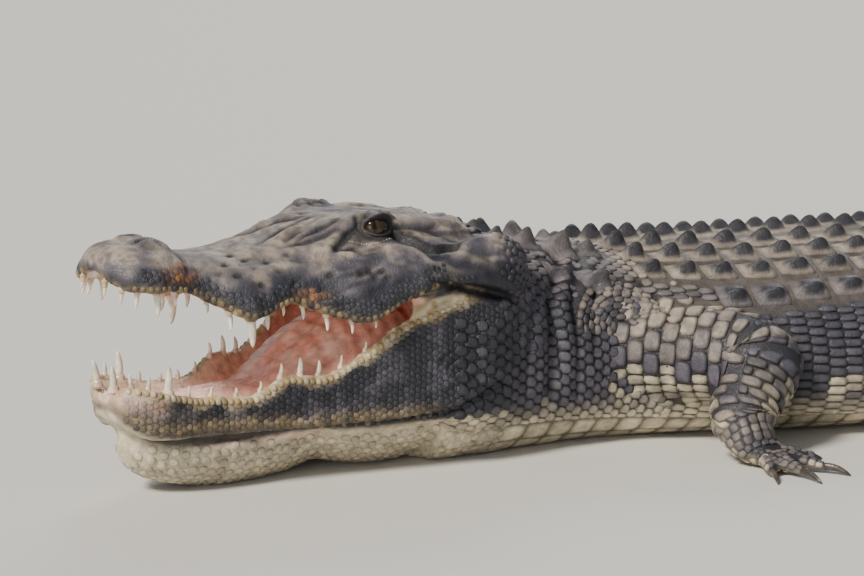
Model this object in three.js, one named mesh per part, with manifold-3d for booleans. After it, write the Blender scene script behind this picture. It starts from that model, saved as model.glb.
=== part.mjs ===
// An adult American alligator, life size, resting on its belly with its mouth open.
// Its head is turned to its left and its tail lies in a curve.
// Millimetres. +X runs along the trunk towards the tail, +Y is the animal's right, +Z is up.
import * as THREE from "three";
import { mergeVertices } from "three/addons/utils/BufferGeometryUtils.js";
import Module from "manifold-3d";

const wasm = await Module();
wasm.setup();
const { Manifold, Mesh } = wasm;

const GAP = 0.3; // between neighbouring pieces
const HEAD_LENGTH = 430; // from the tip of the snout to the back of the skull
const HEAD_SPAN = 600; // wider than the head, for cuts that go right through it
const HEAD_TURN = 20; // degrees, the head to its left against the trunk
const NECK_START = 22; // lengths along the back start at the back of the skull
const ROW_PITCH = 48; // from one row of back scutes to the next
const FIRST_ROW = 244;
const ROWS = 18;
const ROWS_IN_A_LENGTH = 6;
const TRUNK_START = FIRST_ROW - ROW_PITCH / 2;
const TAIL_START = FIRST_ROW + (ROWS - 0.5) * ROW_PITCH;
const WHORL_PITCH = 42; // from one ring of tail scutes to the next
const WHORLS = 36;
const CREST_MEETING = 18; // the whorl where the two crests of the tail run into one
const WHORLS_IN_A_LENGTH = [6, 7, 7, 8, 8];
const INNER_WHORLS = 6; // with a low keel inside each crest
const OUTER_WHORLS = 5; // with a low keel outside each crest
const LOW_KEEL = 9;
const TAIL_TIP = 45; // beyond the last whorl
const TAIL_END = TAIL_START + WHORLS * WHORL_PITCH + TAIL_TIP;
const SKIN_SIDES = 24;
const TAIL_SIDES = 16;
const LEG_SIDES = 8;
const COLUMNS = 4; // of back scutes on each side of the spine
const COLUMN_WIDTH = 45;
const PATH_STEP = 10;

// Each bend turns the line of the body by so many degrees between two lengths along it.
const BENDS = [
  { from: 60, to: 400, turn: -HEAD_TURN },
  { from: 1000, to: 1650, turn: -26 },
  { from: 1650, to: 2600, turn: 62 },
];

// Length along the back, half width, top, height of the widest line, and the squareness of the
// flanks and of the back.
const BODY = [
  [-90, 118, 242, 108, 0.85, 0.85],
  [0, 136, 244, 104, 0.85, 0.85],
  [70, 142, 229, 98, 0.85, 0.85],
  [150, 152, 213, 90, 0.85, 0.88],
  [230, 176, 204, 84, 0.84, 0.92],
  [330, 204, 201, 80, 0.82, 0.95],
  [520, 232, 202, 80, 0.82, 0.95],
  [760, 234, 204, 80, 0.82, 0.95],
  [950, 202, 199, 80, 0.84, 0.95],
  [1080, 160, 192, 78, 0.88, 0.92],
  [1210, 124, 182, 76, 0.92, 0.92],
  [1380, 99, 175, 70, 0.96, 0.94],
  [1620, 75, 152, 60, 1, 1],
  [1920, 51, 124, 50, 1.05, 1],
  [2220, 31, 92, 38, 1.1, 1],
  [2470, 16, 58, 24, 1.1, 1],
  [2640, 5, 20, 9, 1, 1],
];
const BELLY_DROP = 16; // the rounded belly would reach this far under the floor, which flattens it

// Along the head from the snout's tip: half width, lip, crown, shoulder of the crown, roof of the mouth.
const CRANIUM = [
  [0, 18, 234, 246, 244, 240],
  [8, 38, 224, 256, 252, 234],
  [26, 57, 219, 265, 258, 230],
  [54, 66, 218, 264, 257, 228],
  [80, 64, 213, 258, 250, 224],
  [100, 61, 205, 248, 240, 218],
  [142, 88, 184, 246, 236, 208],
  [190, 88, 195, 253, 238, 210],
  [228, 104, 180, 262, 242, 206],
  [258, 122, 172, 269, 248, 200],
  [305, 132, 190, 272, 252, 196],
  [350, 138, 204, 268, 250, 196],
  [388, 142, 208, 264, 245, 198],
  [430, 142, 190, 258, 238, 182],
  [480, 130, 172, 238, 220, 172],
];
// Along the head: half width, tooth line, lower edge, floor of the mouth.
const MANDIBLE = [
  [12, 18, 116, 90, 106],
  [20, 36, 122, 78, 108],
  [36, 51, 120, 68, 106],
  [62, 58, 113, 62, 98],
  [100, 58, 104, 60, 88],
  [150, 70, 101, 58, 82],
  [190, 79, 118, 55, 83],
  [222, 88, 115, 54, 85],
  [270, 102, 136, 54, 92],
  [300, 113, 158, 54, 100],
  [330, 122, 173, 54, 116],
  [365, 132, 185, 54, 140],
  [388, 138, 195, 54, 160],
  [430, 142, 186, 56, 172],
  [480, 130, 176, 62, 170],
];
const RINGS_ALONG = {
  cranium: [
    0, 4, 12, 28, 54, 80, 100, 122, 142, 165, 190, 210,
    228, 244, 262, 284, 306, 328, 350, 370, 388, 430, 480,
  ],
  mandible: [12, 15, 23, 36, 62, 100, 150, 190, 222, 246, 270, 300, 330, 365, 388, 430, 480],
};

// The cut between head and jaw, inside the open mouth and on behind its corner: along the head, height.
const MOUTH_CUT = [
  [-60, 176], [90, 158], [200, 150], [270, 156], [305, 175], [340, 189], [388, 201], [430, 188], [520, 182],
];
const THROAT = [
  { at: 168, height: 50, along: 140, across: 60, high: 54 },
  { at: 345, height: 70, along: 150, across: 104, high: 76 },
];
const EYE = { at: 310, side: 60, height: 260, radius: 17 };
const NOSTRIL = { at: 56, side: 16, height: 268 };
const TONGUE = { from: 150, to: 384, halfWidth: 78, depth: 9 };
// Along the head: how far the tongue rises over the floor of the mouth.
const TONGUE_RISE = [[150, 8], [185, 20], [225, 42], [262, 58], [305, 66], [345, 54], [384, 24]];

// Teeth from the front to the back: along the head, and length beyond the gum.
const UPPER_TEETH = [
  [6, 12], [16, 14], [28, 16], [46, 24], [66, 14], [106, 12], [124, 18],
  [143, 30], [162, 18], [182, 12], [204, 15], [226, 17], [248, 13], [272, 10],
];
const LOWER_TEETH = [
  [16, 24], [26, 14], [40, 14], [60, 28], [84, 11], [110, 9], [136, 9],
  [162, 10], [184, 15], [204, 20], [224, 17], [248, 12], [274, 10],
];

// Legs: places as length along the back, distance out from the spine, height, then a radius.
const LEFT_ARM = {
  root: [205, 104, 104, 60],
  bend: [352, 226, 102, 44],
  end: [284, 264, 44, 27],
  spread: [296, 300, 14, 24],
  toes: { first: -60, last: 56, turn: 44, lengths: [44, 58, 64, 58, 46], radius: 10, clawed: 3 },
};
const RIGHT_ARM = {
  root: [205, -104, 104, 60],
  bend: [350, -234, 102, 44],
  end: [270, -300, 44, 27],
  spread: [256, -344, 14, 24],
  toes: { first: -60, last: 56, turn: -6, lengths: [44, 58, 64, 58, 46], radius: 10, clawed: 3 },
};
const LEFT_LEG = {
  root: [985, 80, 96, 84],
  bend: [870, 288, 92, 56],
  end: [1000, 352, 42, 34],
  spread: [978, 428, 15, 32],
  toes: { first: -46, last: 42, turn: -20, lengths: [84, 102, 98, 76], radius: 13, clawed: 3 },
};
const RIGHT_LEG = {
  root: [985, -80, 96, 84],
  bend: [885, -290, 92, 56],
  end: [1025, -345, 42, 34],
  spread: [1012, -424, 15, 32],
  toes: { first: -46, last: 42, turn: -12, lengths: [84, 102, 98, 76], radius: 13, clawed: 3 },
};

const CLAW_LENGTH = 24;

const radians = (value) => (value * Math.PI) / 180;
const smooth = (value) => {
  const t = Math.min(1, Math.max(0, value));
  return t * t * (3 - 2 * t);
};
const mix = (a, b, t) => a + (b - a) * t;

// The values of a table between its stations, with no overshoot.
function station(table, x) {
  const last = table.length - 1;
  let i = 0;
  while (i < last - 1 && x > table[i + 1][0]) i += 1;
  const span = table[i + 1][0] - table[i][0];
  const t = Math.min(1, Math.max(0, (x - table[i][0]) / span));
  const slope = (k, column) => {
    if (k <= 0 || k >= last) return 0;
    const before = (table[k][column] - table[k - 1][column]) / (table[k][0] - table[k - 1][0]);
    const after = (table[k + 1][column] - table[k][column]) / (table[k + 1][0] - table[k][0]);
    return before * after <= 0 ? 0 : (2 * before * after) / (before + after);
  };
  return table[i].slice(1).map((value, n) => {
    const end = table[i + 1][n + 1];
    const rise = slope(i, n + 1) * span;
    const run = slope(i + 1, n + 1) * span;
    const curve = t * t * (3 - 2 * t);
    return mix(value, end, curve) + t * (1 - t) * (rise * (1 - t) - run * t);
  });
}

// The way the back runs at a length along it, as an angle from +X.
function heading(u) {
  const turned = BENDS.map((bend) => bend.turn * smooth((u - bend.from) / (bend.to - bend.from)));
  return radians(turned.reduce((sum, turn) => sum + turn, HEAD_TURN));
}

const path = [[0, 0]];
for (let u = 0; u < TAIL_END + PATH_STEP; u += PATH_STEP) {
  const h = heading(u + PATH_STEP / 2);
  const [x, y] = path[path.length - 1];
  path.push([x + PATH_STEP * Math.cos(h), y + PATH_STEP * Math.sin(h)]);
}

// A place given by the length along the back, the distance out to the animal's left, and the height.
function beside(u, out, z) {
  const h = heading(u);
  const i = Math.min(path.length - 2, Math.max(0, Math.floor(u / PATH_STEP)));
  const t = u / PATH_STEP - i;
  const x = mix(path[i][0], path[i + 1][0], t);
  const y = mix(path[i][1], path[i + 1][1], t);
  return new THREE.Vector3(x + Math.sin(h) * out, y - Math.cos(h) * out, z);
}

// A place on the hide. The angle runs from the spine, 0, to the left flank, 90, and on under the belly.
function bodyPoint(u, angle, grow = 0) {
  const [half, top, wide, flank, back] = station(BODY, u);
  const s = Math.sin(radians(angle));
  const c = Math.cos(radians(angle));
  const out = Math.sign(s) * (half + grow) * Math.abs(s) ** flank;
  const under = wide - (wide + BELLY_DROP) * Math.abs(c) ** 0.8;
  const z = c > 0 ? wide + (top + grow - wide) * c ** back : under;
  return beside(u, out, Math.max(0, z));
}

const headTurn = radians(HEAD_TURN);
// A place in the head: the distance back from the snout's tip, the distance to the left, the height.
function headPoint(s, left, z) {
  const back = s - HEAD_LENGTH;
  const x = back * Math.cos(headTurn) + left * Math.sin(headTurn);
  const y = back * Math.sin(headTurn) - left * Math.cos(headTurn);
  return new THREE.Vector3(x, y, z);
}

// Half rings of the head from the top to the bottom, as distance to the side and height.
function craniumRing(s) {
  const [half, lip, top, shoulder, roof] = station(CRANIUM, s);
  const inner = Math.min(20, half * 0.4);
  return [
    [0, top],
    [half * 0.34, top - 1],
    [half * 0.62, shoulder],
    [half * 0.86, mix(lip, shoulder, 0.72)],
    [half, mix(lip, shoulder, 0.26)],
    [half - inner * 0.12, lip],
    [half - inner * 0.62, lip + 1],
    [half - inner, mix(lip, roof, 0.5)],
    [(half - inner) * 0.5, roof],
    [0, roof + 2],
  ];
}
function mandibleRing(s) {
  const [half, top, low, floor] = station(MANDIBLE, s);
  const inner = Math.min(18, half * 0.4);
  return [
    [0, floor],
    [(half - inner) * 0.55, floor],
    [half - inner, mix(floor, top, 0.5)],
    [half - inner * 0.66, top - 1],
    [half - inner * 0.15, top],
    [half, mix(low, top, 0.68)],
    [half - 1, mix(low, top, 0.3)],
    [half - inner * 0.4, low + 2],
    [half - inner * 1.1, low],
    [0, low],
  ];
}

// A closed geometry as a solid whose faces point out, also where its places were mirrored.
function solid(geometry) {
  const bare = geometry.index ? geometry.toNonIndexed() : geometry.clone();
  bare.deleteAttribute("normal");
  bare.deleteAttribute("uv");
  const merged = mergeVertices(bare, 1e-3);
  const position = merged.attributes.position;
  const corner = (i) => new THREE.Vector3().fromBufferAttribute(position, merged.index.getX(i));
  const faces = [];
  let volume = 0;
  for (let i = 0; i < merged.index.count; i += 3) {
    const ids = [0, 1, 2].map((k) => merged.index.getX(i + k));
    if (new Set(ids).size < 3) continue;
    faces.push(ids);
    volume += corner(i).dot(corner(i + 1).cross(corner(i + 2)));
  }
  const ordered = volume > 0 ? faces : faces.map(([a, b, c]) => [a, c, b]);
  return new Manifold(
    new Mesh({
      numProp: 3,
      vertProperties: new Float32Array(position.array),
      triVerts: new Uint32Array(ordered.flat()),
    }),
  );
}

// The geometry with each vertex moved to place(x, y, z), as a solid.
function shaped(geometry, place) {
  const position = geometry.attributes.position;
  for (let i = 0; i < position.count; i += 1) {
    const p = place(position.getX(i), position.getY(i), position.getZ(i));
    position.setXYZ(i, p.x, p.y, p.z);
  }
  return solid(geometry);
}

// A closed tube of rings: ring(t, turn, radius) with t from 0 to 1 along it and turn from 0 to 1 round it.
function tube(sides, steps, ring) {
  const cylinder = new THREE.CylinderGeometry(1, 1, 1, sides, steps);
  return shaped(cylinder, (x, y, z) => {
    const turn = (Math.atan2(x, z) / (2 * Math.PI) + 1 + 1e-6) % 1;
    return ring(0.5 - y, turn, Math.min(1, Math.hypot(x, z)));
  });
}

const union = (pieces) => Manifold.union(pieces);
const largest = (manifold) =>
  manifold.decompose().reduce((best, piece) => (piece.volume() > best.volume() ? piece : best));
const aboveFloor = (manifold) => manifold.trimByPlane([0, 0, 1], 0);

// The part of a solid on the side of a plane to which its normal points, less half of the gap.
function beyond(manifold, point, normal) {
  const n = normal.clone().normalize();
  return manifold.trimByPlane([n.x, n.y, n.z], point.dot(n) + GAP / 2);
}

// The angle out from the spine of one corner of a ring: the first ones lie between the columns of scutes.
function ringAngle(u, corner, sides = SKIN_SIDES) {
  const [half] = station(BODY, u);
  const width = Math.min(COLUMN_WIDTH, half * 0.21);
  const edge = (column) => (Math.asin((column * width) / half) * 180) / Math.PI;
  if (corner <= COLUMNS) return edge(corner);
  return mix(edge(COLUMNS), 180, (corner - COLUMNS) / (sides / 2 - COLUMNS));
}

// The part of a solid between two cuts across the body.
function between(manifold, from, to) {
  const cutLine = (u) => new THREE.Vector3(Math.cos(heading(u)), Math.sin(heading(u)), 0);
  const kept = beyond(manifold, beside(from, 0, 0), cutLine(from));
  return beyond(kept, beside(to, 0, 0), cutLine(to).negate());
}

// The hide from one length along the back to another, in rings of the given number of corners.
function hide(from, to, steps, grow = 0, sides = SKIN_SIDES) {
  return tube(sides, steps, (t, turn, radius) => {
    const u = mix(from, to, t);
    const corner = Math.round(turn * sides);
    const angle = corner <= sides / 2 ? ringAngle(u, corner, sides) : -ringAngle(u, sides - corner, sides);
    const edge = bodyPoint(u, angle, grow);
    const [, top] = station(BODY, u);
    return beside(u, 0, top * 0.4).lerp(edge, radius);
  });
}

// The head or jaw from half rings set at the given distances from the snout's tip.
function headTube(ring, sections) {
  const keys = ring(sections[1]).length - 1;
  const sides = keys * 2;
  return tube(sides, sections.length - 1, (t, turn, radius) => {
    const s = sections[Math.round(t * (sections.length - 1))];
    const half = ring(s);
    const k = Math.round(turn * sides) % sides;
    const [left, z] = k <= keys ? half[k] : [-half[sides - k][0], half[sides - k][1]];
    const middle = (half[0][1] + half[keys][1]) / 2;
    return headPoint(s, left * radius, mix(middle, z, radius));
  });
}

// An ellipsoid in the head: its centre, its three half sizes, and its tilt and turn in degrees.
function blob(centre, size, tilt = 0, turn = 0, sides = 10) {
  const sphere = new THREE.SphereGeometry(1, sides, Math.round(sides * 0.6));
  const angles = new THREE.Euler(0, radians(tilt), radians(turn), "ZYX");
  return shaped(sphere, (x, y, z) => {
    const p = new THREE.Vector3(x * size[0], y * size[1], z * size[2]).applyEuler(angles);
    return headPoint(centre[0] + p.x, centre[1] + p.y, centre[2] + p.z);
  });
}

// A cone that stands on a point and leans along an axis.
function spike(base, tip, radius, sides = 4) {
  const axis = tip.clone().sub(base);
  const cone = new THREE.ConeGeometry(radius, axis.length(), sides);
  const up = new THREE.Vector3(0, 1, 0);
  const turn = new THREE.Quaternion().setFromUnitVectors(up, axis.clone().normalize());
  const middle = base.clone().lerp(tip, 0.5);
  return shaped(cone, (x, y, z) => new THREE.Vector3(x, y, z).applyQuaternion(turn).add(middle));
}

// A limb's length with round ends, from one radius to the other, flattened by the given share.
function capsule(from, to, radiusFrom, radiusTo, flat = 1, sides = 12) {
  const axis = to.clone().sub(from);
  const length = axis.length();
  const form = new THREE.CapsuleGeometry(1, length, 2, sides);
  const up = new THREE.Vector3(0, 0, 1);
  const along = axis.clone().normalize();
  const across = new THREE.Vector3().crossVectors(along, up).normalize();
  const above = new THREE.Vector3().crossVectors(across, along);
  return shaped(form, (x, y, z) => {
    const t = Math.min(1, Math.max(0, y / length + 0.5));
    const radius = mix(radiusFrom, radiusTo, t);
    const cap = y + length / 2 - t * length;
    return from
      .clone()
      .addScaledVector(along, t * length + cap * radius)
      .addScaledVector(across, x * radius)
      .addScaledVector(above, z * radius * flat);
  });
}

// A scute: a plate with sloping sides, sunk in the hide, whose keel rises towards the tail.
function scute({ u, angle, width, length, keel, sink = 4, lean = 0.12 }) {
  const step = 4;
  const place = bodyPoint(u, angle);
  const along = bodyPoint(u + step, angle).sub(bodyPoint(u - step, angle));
  const stretch = along.length() / (2 * step);
  along.normalize();
  const round = bodyPoint(u, angle + step).sub(bodyPoint(u, angle - step)).normalize();
  const out = new THREE.Vector3().crossVectors(along, round).normalize();
  if (out.z < 0) out.negate();
  const plate = new THREE.BoxGeometry(width, length, 1);
  return shaped(plate, (x, y, z) => {
    const crest = z > 0;
    const rise = y > 0 ? keel : keel * 0.4;
    const shift = crest ? length * (y > 0 ? lean : 0.1) : 0;
    return place
      .clone()
      .addScaledVector(round, crest ? 0 : x)
      .addScaledVector(along, (y + shift) * stretch)
      .addScaledVector(out, crest ? rise : -sink);
  });
}

// A row of the back's scutes, fewer at both ends of the trunk and higher over the shoulders.
function trunkRow(row) {
  const u = FIRST_ROW + row * ROW_PITCH;
  const [half] = station(BODY, u);
  const width = Math.min(COLUMN_WIDTH, half * 0.21);
  const columns = row < 2 || row > 13 ? COLUMNS - 1 : COLUMNS;
  const pieces = [];
  for (let column = 0; column < columns; column += 1) {
    const angle = (ringAngle(u, column) + ringAngle(u, column + 1)) / 2;
    const keel = mix(15, 11, column / COLUMNS) * mix(1.35, 1, smooth(row / 3));
    const plate = { u, width, length: ROW_PITCH * 0.96, keel };
    pieces.push(scute({ ...plate, angle }), scute({ ...plate, angle: -angle }));
  }
  return pieces;
}

// Where the crests of the tail stand, and how high, at one whorl.
function crestAt(whorl) {
  const meeting = Math.min(1, whorl / CREST_MEETING);
  const angle = 34 * (1 - meeting ** 1.4);
  const end = (whorl - CREST_MEETING) / (WHORLS - CREST_MEETING);
  const height = whorl < CREST_MEETING ? mix(17, 34, meeting) : mix(40, 14, Math.max(0, end) ** 1.3);
  return { angle, height };
}

function tailWhorl(whorl) {
  const u = TAIL_START + (whorl + 0.5) * WHORL_PITCH;
  const [half] = station(BODY, u);
  const { angle, height } = crestAt(whorl);
  const length = WHORL_PITCH * 0.96;
  if (whorl >= CREST_MEETING) {
    const width = Math.max(8, half * 0.5);
    return [scute({ u, angle: 0, width, length, keel: height, sink: Math.min(8, half * 0.5) })];
  }
  const pieces = [];
  const width = mix(42, 20, whorl / CREST_MEETING);
  for (const side of [-1, 1]) {
    const low = { u, length, keel: LOW_KEEL };
    pieces.push(scute({ u, angle: side * angle, width, length, keel: height }));
    if (whorl < INNER_WHORLS) {
      pieces.push(scute({ ...low, angle: side * angle * 0.34, width: width * 0.84 }));
    }
    if (whorl < OUTER_WHORLS) pieces.push(scute({ ...low, angle: side * (angle + 26), width: 34 }));
  }
  return pieces;
}

// The shield of the neck: small scutes behind the skull, then the large nuchal ones.
const NUCHALS = [
  { u: 36, angle: 9, width: 24, length: 26, keel: 11 },
  { u: 38, angle: 30, width: 28, length: 28, keel: 11 },
  { u: 66, angle: 10, width: 30, length: 30, keel: 16 },
  { u: 102, angle: 12, width: 42, length: 40, keel: 22 },
  { u: 106, angle: 38, width: 34, length: 36, keel: 15 },
  { u: 148, angle: 13, width: 50, length: 48, keel: 27 },
  { u: 154, angle: 42, width: 44, length: 44, keel: 22 },
  { u: 190, angle: 12, width: 38, length: 34, keel: 15 },
];
function neckShield() {
  return NUCHALS.flatMap((plate) => [-1, 1].map((side) => scute({ ...plate, angle: side * plate.angle })));
}

// Teeth in one row, leaning out a little: their roots are sunk in the jaw.
function teeth(list, table, direction, inset) {
  return list.flatMap(([s, length]) =>
    [-1, 1].map((side) => {
      const [half, edge] = station(table, s);
      const left = Math.max(5, half - inset);
      const width = Math.max(3.6, length * 0.29);
      const lean = Math.min(3, length * 0.12);
      const forward = s < 30 ? 3 : 0;
      const base = headPoint(s, side * left, edge - direction * 5);
      const tip = headPoint(s - forward, side * (left + lean), edge + direction * length);
      return spike(base, tip, width);
    }),
  );
}

const mirrored = (make) => [1, -1].flatMap((side) => make(side));

// The raised forms of the head, and the hollows of its nostrils and ears.
function headForms() {
  return mirrored((side) => [
    blob([NOSTRIL.at, side * 17, 253], [30, 18, 15], 0, 0, 8),
    blob([290, side * 50, 260], [44, 18, 17], -5, side * 12, 8),
    blob([310, side * 56, 267], [32, 13, 13], 0, side * 4, 8),
    blob([310, side * 78, 243], [30, 9, 8], -3, side * 5, 8),
    blob([374, side * 66, 254], [56, 15, 12], 3, side * 3, 8),
    blob([232, side * 38, 250], [50, 11, 9], -9, side * 14, 8),
    blob([418, side * 116, 212], [58, 26, 40], 0, side * -4, 8),
  ]);
}
function headHollows() {
  const { at, side: out, height, radius } = EYE;
  return mirrored((side) => [
    blob([NOSTRIL.at, side * NOSTRIL.side, NOSTRIL.height], [10, 4, 7], 0, side * 30, 8),
    blob([374, side * 84, 250], [46, 8, 3.5], 3, side * 3, 8),
    blob([at, side * out, height], [radius + GAP, radius + GAP, radius + GAP], 0, 0, 10),
  ]);
}

// A prism over the whole width of the head, between its mouth cut and a level above or below.
function mouthSide(level) {
  const shift = (Math.sign(level - MOUTH_CUT[0][1]) * GAP) / 2;
  const cut = MOUTH_CUT.map(([s, z]) => [s, z + shift]);
  const outline = [...cut, [cut.at(-1)[0], level], [cut[0][0], level]];
  const shape = new THREE.Shape(outline.map(([s, z]) => new THREE.Vector2(s, z)));
  const prism = new THREE.ExtrudeGeometry(shape, { depth: HEAD_SPAN, bevelEnabled: false });
  return shaped(prism, (s, z, left) => headPoint(s, left - HEAD_SPAN / 2, z));
}

function tongueSolid(grow) {
  const { from, to, halfWidth, depth } = TONGUE;
  return tube(12, 8, (t, turn, radius) => {
    const s = mix(from - grow, to + grow, t);
    const [half, , , floor] = station(MANDIBLE, s);
    const round = Math.sqrt(Math.max(0.02, 1 - Math.abs(2 * t - 1) ** 3));
    const side = Math.min(halfWidth, half - 24) * round + grow;
    const high = station(TONGUE_RISE, s)[0] * round + grow;
    const angle = turn * 2 * Math.PI;
    const c = Math.cos(angle);
    const z = c * (c > 0 ? high : depth + grow);
    return headPoint(s, Math.sin(angle) * side * radius, floor + z * radius + 0.5);
  });
}

// A leg in three pieces, cut square at the bend and at the end, and clear of the trunk.
function leg({ root, bend, end, spread, toes }, trunk) {
  const places = [root, bend, end, spread].map(([u, out, z]) => beside(u, out, z));
  const [rootPoint, bendPoint, endPoint, spreadPoint] = places;
  const upperLine = bendPoint.clone().sub(rootPoint).normalize();
  const lowerLine = endPoint.clone().sub(bendPoint).normalize();
  const footLine = spreadPoint.clone().sub(endPoint).normalize();
  const bendPlane = upperLine.clone().add(lowerLine);
  const endPlane = lowerLine.clone().add(footLine);
  const upper = capsule(rootPoint, bendPoint, root[3], bend[3], 0.92, LEG_SIDES);
  const lower = capsule(bendPoint, endPoint, bend[3], end[3], 0.95, LEG_SIDES);
  const side = Math.sign(root[1]);
  const outward = beside(spread[0], side, 0).sub(beside(spread[0], 0, 0)).normalize();
  const backward = new THREE.Vector3(outward.y, -outward.x, 0).multiplyScalar(-side);
  const palm = [capsule(endPoint, spreadPoint, end[3], spread[3], 0.62, 8)];
  const last = toes.lengths.length - 1;
  toes.lengths.forEach((length, n) => {
    const angle = radians(toes.turn + mix(toes.first, toes.last, n / last));
    const direction = outward.clone().multiplyScalar(Math.cos(angle));
    direction.addScaledVector(backward, Math.sin(angle));
    const inPalm = spread[3] * 0.5;
    const knuckle = spreadPoint.clone().addScaledVector(direction, inPalm).setZ(toes.radius + 3);
    const tip = spreadPoint.clone().addScaledVector(direction, inPalm + length).setZ(toes.radius * 0.7);
    palm.push(capsule(knuckle, tip, toes.radius, toes.radius * 0.62, 0.9, 5));
    if (n >= toes.clawed) return;
    const clawTip = tip.clone().addScaledVector(direction, CLAW_LENGTH).setZ(3);
    palm.push(spike(tip.clone().addScaledVector(direction, -3), clawTip, toes.radius * 0.5));
  });
  const nearBend = beyond(upper, bendPoint, bendPlane.clone().negate());
  const nearEnd = beyond(beyond(lower, bendPoint, bendPlane), endPoint, endPlane.clone().negate());
  const finish = (manifold) => largest(aboveFloor(manifold.subtract(trunk)));
  return {
    upper: finish(nearBend),
    lower: finish(nearEnd),
    foot: finish(beyond(union(palm), endPoint, endPlane)),
  };
}

const hideMaterial = (color) => new THREE.MeshStandardMaterial({ color, roughness: 0.62, metalness: 0 });
const materials = {
  back: hideMaterial(0x34343a),
  jaw: hideMaterial(0x3b3a3e),
  limb: hideMaterial(0x47423f),
  mouth: new THREE.MeshStandardMaterial({ color: 0xc98a78, roughness: 0.35, metalness: 0 }),
  eye: new THREE.MeshStandardMaterial({ color: 0x1c1a12, roughness: 0.1, metalness: 0 }),
};

const model = new THREE.Group();
function add(name, manifold, material) {
  const mesh = manifold.getMesh();
  const geometry = new THREE.BufferGeometry();
  geometry.setAttribute("position", new THREE.BufferAttribute(new Float32Array(mesh.vertProperties), 3));
  geometry.setIndex(new THREE.BufferAttribute(new Uint32Array(mesh.triVerts), 1));
  geometry.computeVertexNormals();
  const node = new THREE.Mesh(geometry, material);
  node.name = name;
  model.add(node);
}

// Head, jaw and neck are one flesh, parted by the mouth cut and by a cut across the neck.
const neckLength = [-60, TRUNK_START + PATH_STEP, 9];
const neckFlesh = hide(...neckLength);
const throat = THROAT.map(({ at, height, along, across, high }) =>
  blob([at, 0, height], [along, across, high], 0, 0, 12),
);
const jaws = [headTube(craniumRing, RINGS_ALONG.cranium), headTube(mandibleRing, RINGS_ALONG.mandible)];
const flesh = aboveFloor(union([...jaws, neckFlesh, ...throat]));
const front = between(union([flesh, ...headForms()]), -2 * HEAD_LENGTH, NECK_START);
const upperHalf = front.intersect(mouthSide(420)).subtract(union(headHollows()));
const lowerHalf = front.intersect(mouthSide(-60)).subtract(tongueSolid(GAP));
add("head", largest(union([upperHalf, ...teeth(UPPER_TEETH, CRANIUM, -1, 11)])), materials.back);
add("lower_jaw", largest(union([lowerHalf, ...teeth(LOWER_TEETH, MANDIBLE, 1, 9)])), materials.jaw);
add("tongue", largest(tongueSolid(0)), materials.mouth);
for (const [name, side] of [["eye_left", 1], ["eye_right", -1]]) {
  add(name, blob([EYE.at, side * EYE.side, EYE.height], Array(3).fill(EYE.radius)), materials.eye);
}
add("neck", largest(between(union([flesh, ...neckShield()]), NECK_START, TRUNK_START)), materials.back);

// The trunk in three lengths, each with its own rows of scutes.
const rows = (first, count, make) => Array.from({ length: count }, (_, k) => make(first + k)).flat();
let from = TRUNK_START;
const trunk = [neckLength];
["torso_front", "torso_middle", "torso_rear"].forEach((name, n) => {
  const firstRow = n * ROWS_IN_A_LENGTH;
  const to = from + ROWS_IN_A_LENGTH * ROW_PITCH;
  const pieces = [hide(from, to, ROWS_IN_A_LENGTH), ...rows(firstRow, ROWS_IN_A_LENGTH, trunkRow)];
  trunk.push([from, to, ROWS_IN_A_LENGTH]);
  add(name, largest(between(union(pieces), from, to)), materials.back);
  from = to;
});

// The tail in five lengths.
let whorl = 0;
WHORLS_IN_A_LENGTH.forEach((count, n) => {
  const to = from + count * WHORL_PITCH + (n === WHORLS_IN_A_LENGTH.length - 1 ? TAIL_TIP : 0);
  const pieces = [hide(from, to, count, 0, TAIL_SIDES), ...rows(whorl, count, tailWhorl)];
  add(`tail_${n + 1}`, largest(between(aboveFloor(union(pieces)), from, to)), materials.back);
  from = to;
  whorl += count;
});

const clearOfTrunk = union(trunk.map((length) => hide(...length, GAP)));
const legs = { left_arm: LEFT_ARM, right_arm: RIGHT_ARM, left_leg: LEFT_LEG, right_leg: RIGHT_LEG };
for (const [name, sizes] of Object.entries(legs)) {
  const { upper, lower, foot } = leg(sizes, clearOfTrunk);
  add(`${name}_upper`, upper, materials.limb);
  add(`${name}_lower`, lower, materials.limb);
  add(`${name}_foot`, foot, materials.limb);
}

// The origin is on the floor, under the middle of the animal's box.
const box = new THREE.Box3().setFromObject(model);
model.position.set(-(box.min.x + box.max.x) / 2, -(box.min.y + box.max.y) / 2, -box.min.z);

export default model;
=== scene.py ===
import bpy
import bmesh
import itertools
import math
import random
import numpy as np
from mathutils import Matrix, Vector, noise
from mathutils.bvhtree import BVHTree
from mathutils.kdtree import KDTree


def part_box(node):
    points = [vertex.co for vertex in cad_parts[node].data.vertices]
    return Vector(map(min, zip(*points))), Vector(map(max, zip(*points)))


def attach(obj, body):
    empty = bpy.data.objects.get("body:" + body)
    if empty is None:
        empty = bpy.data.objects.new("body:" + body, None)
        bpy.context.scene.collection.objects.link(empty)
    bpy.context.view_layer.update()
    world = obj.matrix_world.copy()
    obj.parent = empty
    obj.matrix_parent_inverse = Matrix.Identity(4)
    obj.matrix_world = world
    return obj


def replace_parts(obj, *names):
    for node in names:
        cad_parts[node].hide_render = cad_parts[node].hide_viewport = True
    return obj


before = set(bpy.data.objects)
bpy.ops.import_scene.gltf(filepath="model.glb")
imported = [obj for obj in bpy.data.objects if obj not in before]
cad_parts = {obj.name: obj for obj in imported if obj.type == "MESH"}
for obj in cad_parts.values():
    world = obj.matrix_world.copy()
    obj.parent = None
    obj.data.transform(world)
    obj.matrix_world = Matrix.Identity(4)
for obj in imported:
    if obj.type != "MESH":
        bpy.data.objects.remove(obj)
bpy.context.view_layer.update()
print("frame loaded", len(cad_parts), "nodes")

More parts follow.
